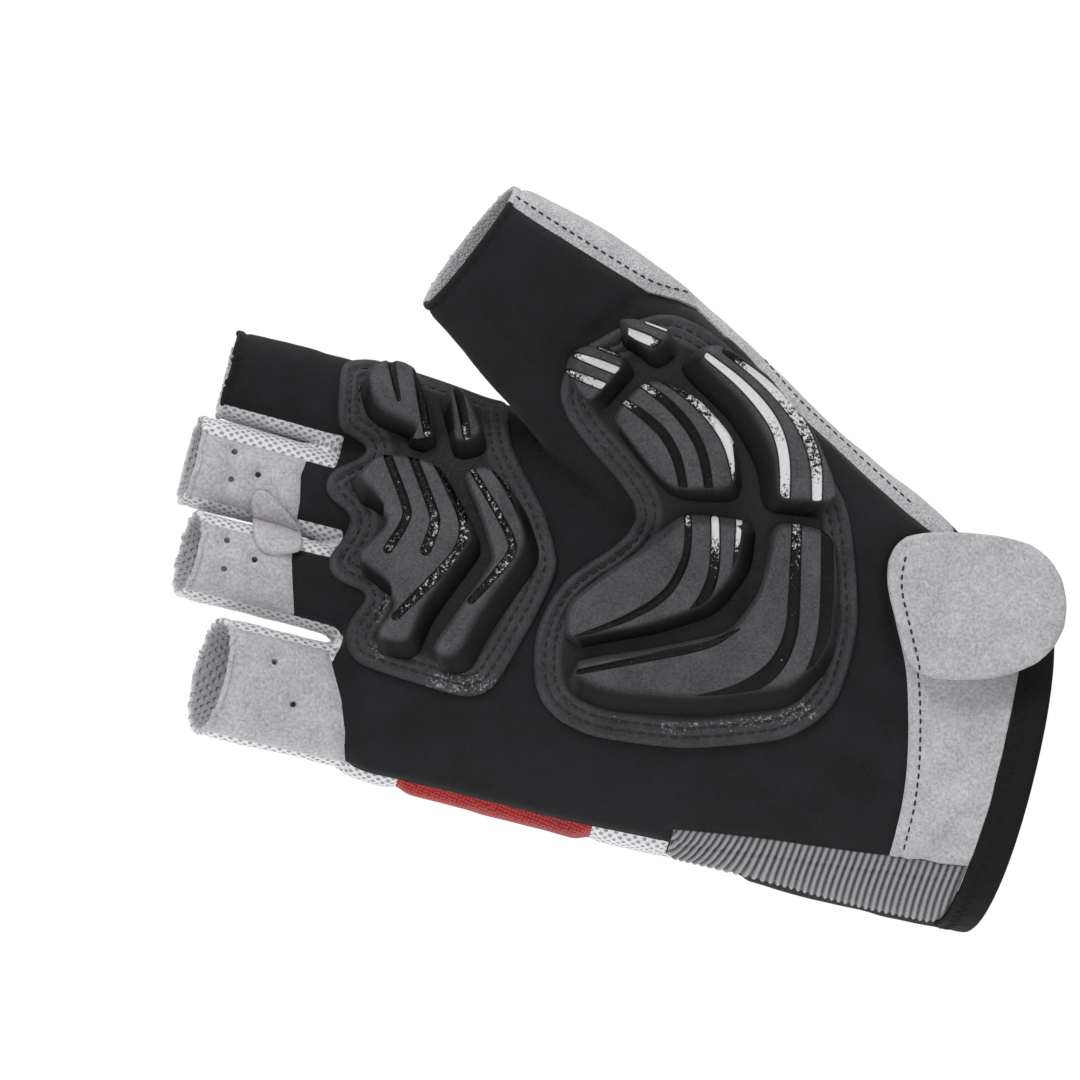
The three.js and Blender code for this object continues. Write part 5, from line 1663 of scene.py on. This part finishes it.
def tab_face():
    """The surface that the leaf lies on: clear of the heel, and curled back at its top."""
    xs, steps = np.arange(-48, 14, 1.0), np.arange(6, 58, 1.0)
    x, across = np.meshgrid(xs, steps, indexing="ij")
    curl = 0.5 * np.maximum(0, across / PALM_BREADTH - 0.3) * WRIST_DEPTH
    out = -WRIST_DEPTH / 2 - TAB_LIFT - 1.0 + curl + x * 0.02
    surface = np.stack([x, out, across], -1)
    normal = unit(np.cross(np.gradient(surface, axis=0), np.gradient(surface, axis=1)))
    normal *= -np.sign(normal[..., 1:2])
    return {"x": xs, "step": steps, "point": surface, "normal": normal}


tab_outline = outline_of([
    (0.145, 0.176), (0.174, 0.294), (0.198, 0.388), (0.198, 0.478), (0.17, 0.525), (0.07, 0.568),
    (0.016, 0.545), (-0.016, 0.44), (-0.012, 0.32), (0.03, 0.235), (0.09, 0.19),
])


def tab_top(places, gap):
    """The leaf is a little uneven, with a folded welt along its sewn edge."""
    sewn = smooth(-24, -30, places[:, 0])
    welt = 0.3 * hill(gap, 0.4, 0.8) - 0.3 * hill(gap, 2.2, 0.5)
    uneven = 0.12 * np.sin(places[:, 0] / 7) * np.sin(places[:, 1] / 6)
    return TAB_WALL + 0.25 * smooth(0.5, 3, gap) + uneven + sewn * welt


leaf_profile = [
    (0.35, 0.95, 0.95), (0.65, 0.8, 0.8), (0.87, 0.6, 0.6), (1.0, 0.35, 0.35), (0.8, 0.0, 0.0),
]
leaf = raised_plate(
    tab_face(), rounded(tab_outline, 8), TAB_CELL, TAB_SHOULDER, np.zeros(2), leaf_profile,
    tab_top, 0.0, 0.0,
)[:3]
add_piece("wrist_tab_suede", *leaf, grey_suede, ["wrist_tab"], "grey_suede")

pull_outline = outline_of([
    (0.924, 0.215), (0.912, 0.24), (0.888, 0.21), (0.86, 0.162), (0.848, 0.112),
    (0.887, 0.08), (0.903, 0.1), (0.918, 0.165),
])
leaf = raised_plate(
    palm_face, rounded(pull_outline, 2), PULL_CELL, PULL_SHOULDER, np.zeros(2), leaf_profile,
    lambda places, gap: np.full(len(places), PULL_TOP), PULL_FOOT, 1.0,
)[:3]
add_piece("pull_tab_suede", *leaf, grey_suede, ["pull_tab"], "grey_suede")

# Seams that show their stitches: one row of black thread a little inside the cuff's edge, which
# also holds the tab, and one along the thumb's towelling.
SEAM_PITCH = 1.9
SEAM_STITCH = 1.2


def seam_stitches(names, line):
    """Stitches along a line in the X-Z plane, on the front of what is sewn."""
    every, all_faces, count = [], [], 0
    for name in names:
        every.append(built[name][0])
        all_faces.append(built[name][1] + count)
        count += len(built[name][0])
    cloth = BVHTree.FromPolygons(np.concatenate(every).tolist(), np.concatenate(all_faces).tolist())
    run = run_along(line)
    starts, ends = [], []
    for at in np.arange(SEAM_PITCH / 2, run[-1] - SEAM_STITCH, SEAM_PITCH):
        hits = []
        for place in (at, at + SEAM_STITCH):
            x, z = (np.interp(place, run, line[:, axis]) for axis in range(2))
            hits.append(cloth.ray_cast((x, -100, z), (0, 1, 0))[0])
        if None not in hits and (hits[0] - hits[1]).length < 2 * SEAM_STITCH:
            starts.append(hits[0])
            ends.append(hits[1])
    return threads(np.array(starts), np.array(ends))


sewn = seam_stitches(["cuff_suede_front", "wrist_tab_suede"], cuff_row)
add_piece("cuff_seam_stitches", *sewn, {}, black_thread, [], "grey_suede")
thumb_row = curved(thumb_seam[:-1] + [0.9, 1.5])
sewn = seam_stitches(["thumb_back_towelling"], thumb_row)
add_piece("thumb_seam_stitches", *sewn, {}, black_thread, [], "towelling")

# Studio: a white floor, soft light from the upper left, and the camera square to the palm,
# turned 14 degrees.
TURN = math.radians(14)
AIM = Vector((-0.1072, -0.012, 0.0237))
DISTANCE = 1.0
FRAME_WIDTH = 0.2268
SENSOR = 36.0
camera_data = bpy.data.cameras.new("camera")
camera = bpy.data.objects.new("camera", camera_data)
bpy.context.scene.collection.objects.link(camera)
right = Vector((math.cos(TURN), 0, math.sin(TURN)))
up = Vector((-math.sin(TURN), 0, math.cos(TURN)))
back = Vector((0, -1, 0))
turned = Matrix((right, up, back)).transposed().to_4x4()
camera.matrix_world = Matrix.Translation(AIM + back * DISTANCE) @ turned
camera_data.sensor_width = SENSOR
camera_data.lens = SENSOR * DISTANCE / FRAME_WIDTH
bpy.context.scene.camera = camera

paper, tree, shader, where = new_material("White paper")
# Uncoated card: matt, with a fine tooth, and lit so that it stays as white as the studio.
tooth = add(tree, "TexNoise", {"Vector": where, "Scale": 400, "Detail": 2})
rough = add(tree, "MapRange", {0: tooth, 3: 0.9, 4: 1.0})
bump = add(tree, "Bump", {"Height": tooth, "Strength": 0.1, "Distance": 0.0002})
fill(tree, shader, {
    "Roughness": rough, "Normal": bump, "Base Color": "#f4f4f4", "Emission Color": (1, 1, 1, 1),
    "Emission Strength": 0.4,
})
FLOOR_RADIUS = 0.34
FLOOR_HEIGHT = -0.16
FLOOR_THICK = 0.004
floor_place = (AIM.x, AIM.y, FLOOR_HEIGHT - FLOOR_THICK / 2)
bpy.ops.mesh.primitive_cylinder_add(
    vertices=96, radius=FLOOR_RADIUS, depth=FLOOR_THICK, location=floor_place
)
floor = bpy.context.object
floor.name = "paper_floor"
floor.data.materials.append(paper)

for name, offset, size, power in (
    ("key", (-0.55, -0.7, 0.75), 0.5, 6.5),
    ("fill", (0.8, -0.6, 0.1), 0.8, 1.6),
    ("top", (-0.1, 0.1, 0.9), 0.7, 2.5),
):
    light = bpy.data.lights.new(name, "AREA")
    light.size = size
    light.energy = power
    lamp = bpy.data.objects.new(name, light)
    lamp.location = AIM + Vector(offset)
    lamp.rotation_euler = (-Vector(offset)).to_track_quat("-Z", "Y").to_euler()
    bpy.context.scene.collection.objects.link(lamp)
WORLD_LIGHT = 0.5
world = bpy.data.worlds.new("studio")
bpy.context.scene.world = world
world.use_nodes = True
tree = world.node_tree
seen = add(tree, "LightPath").outputs["Is Camera Ray"]
strength = add(tree, "MapRange", {0: seen, 3: WORLD_LIGHT, 4: 1.0})
fill(tree, tree.nodes["Background"], {"Strength": strength, "Color": "#ffffff"})
bpy.context.scene.view_settings.view_transform = "Standard"
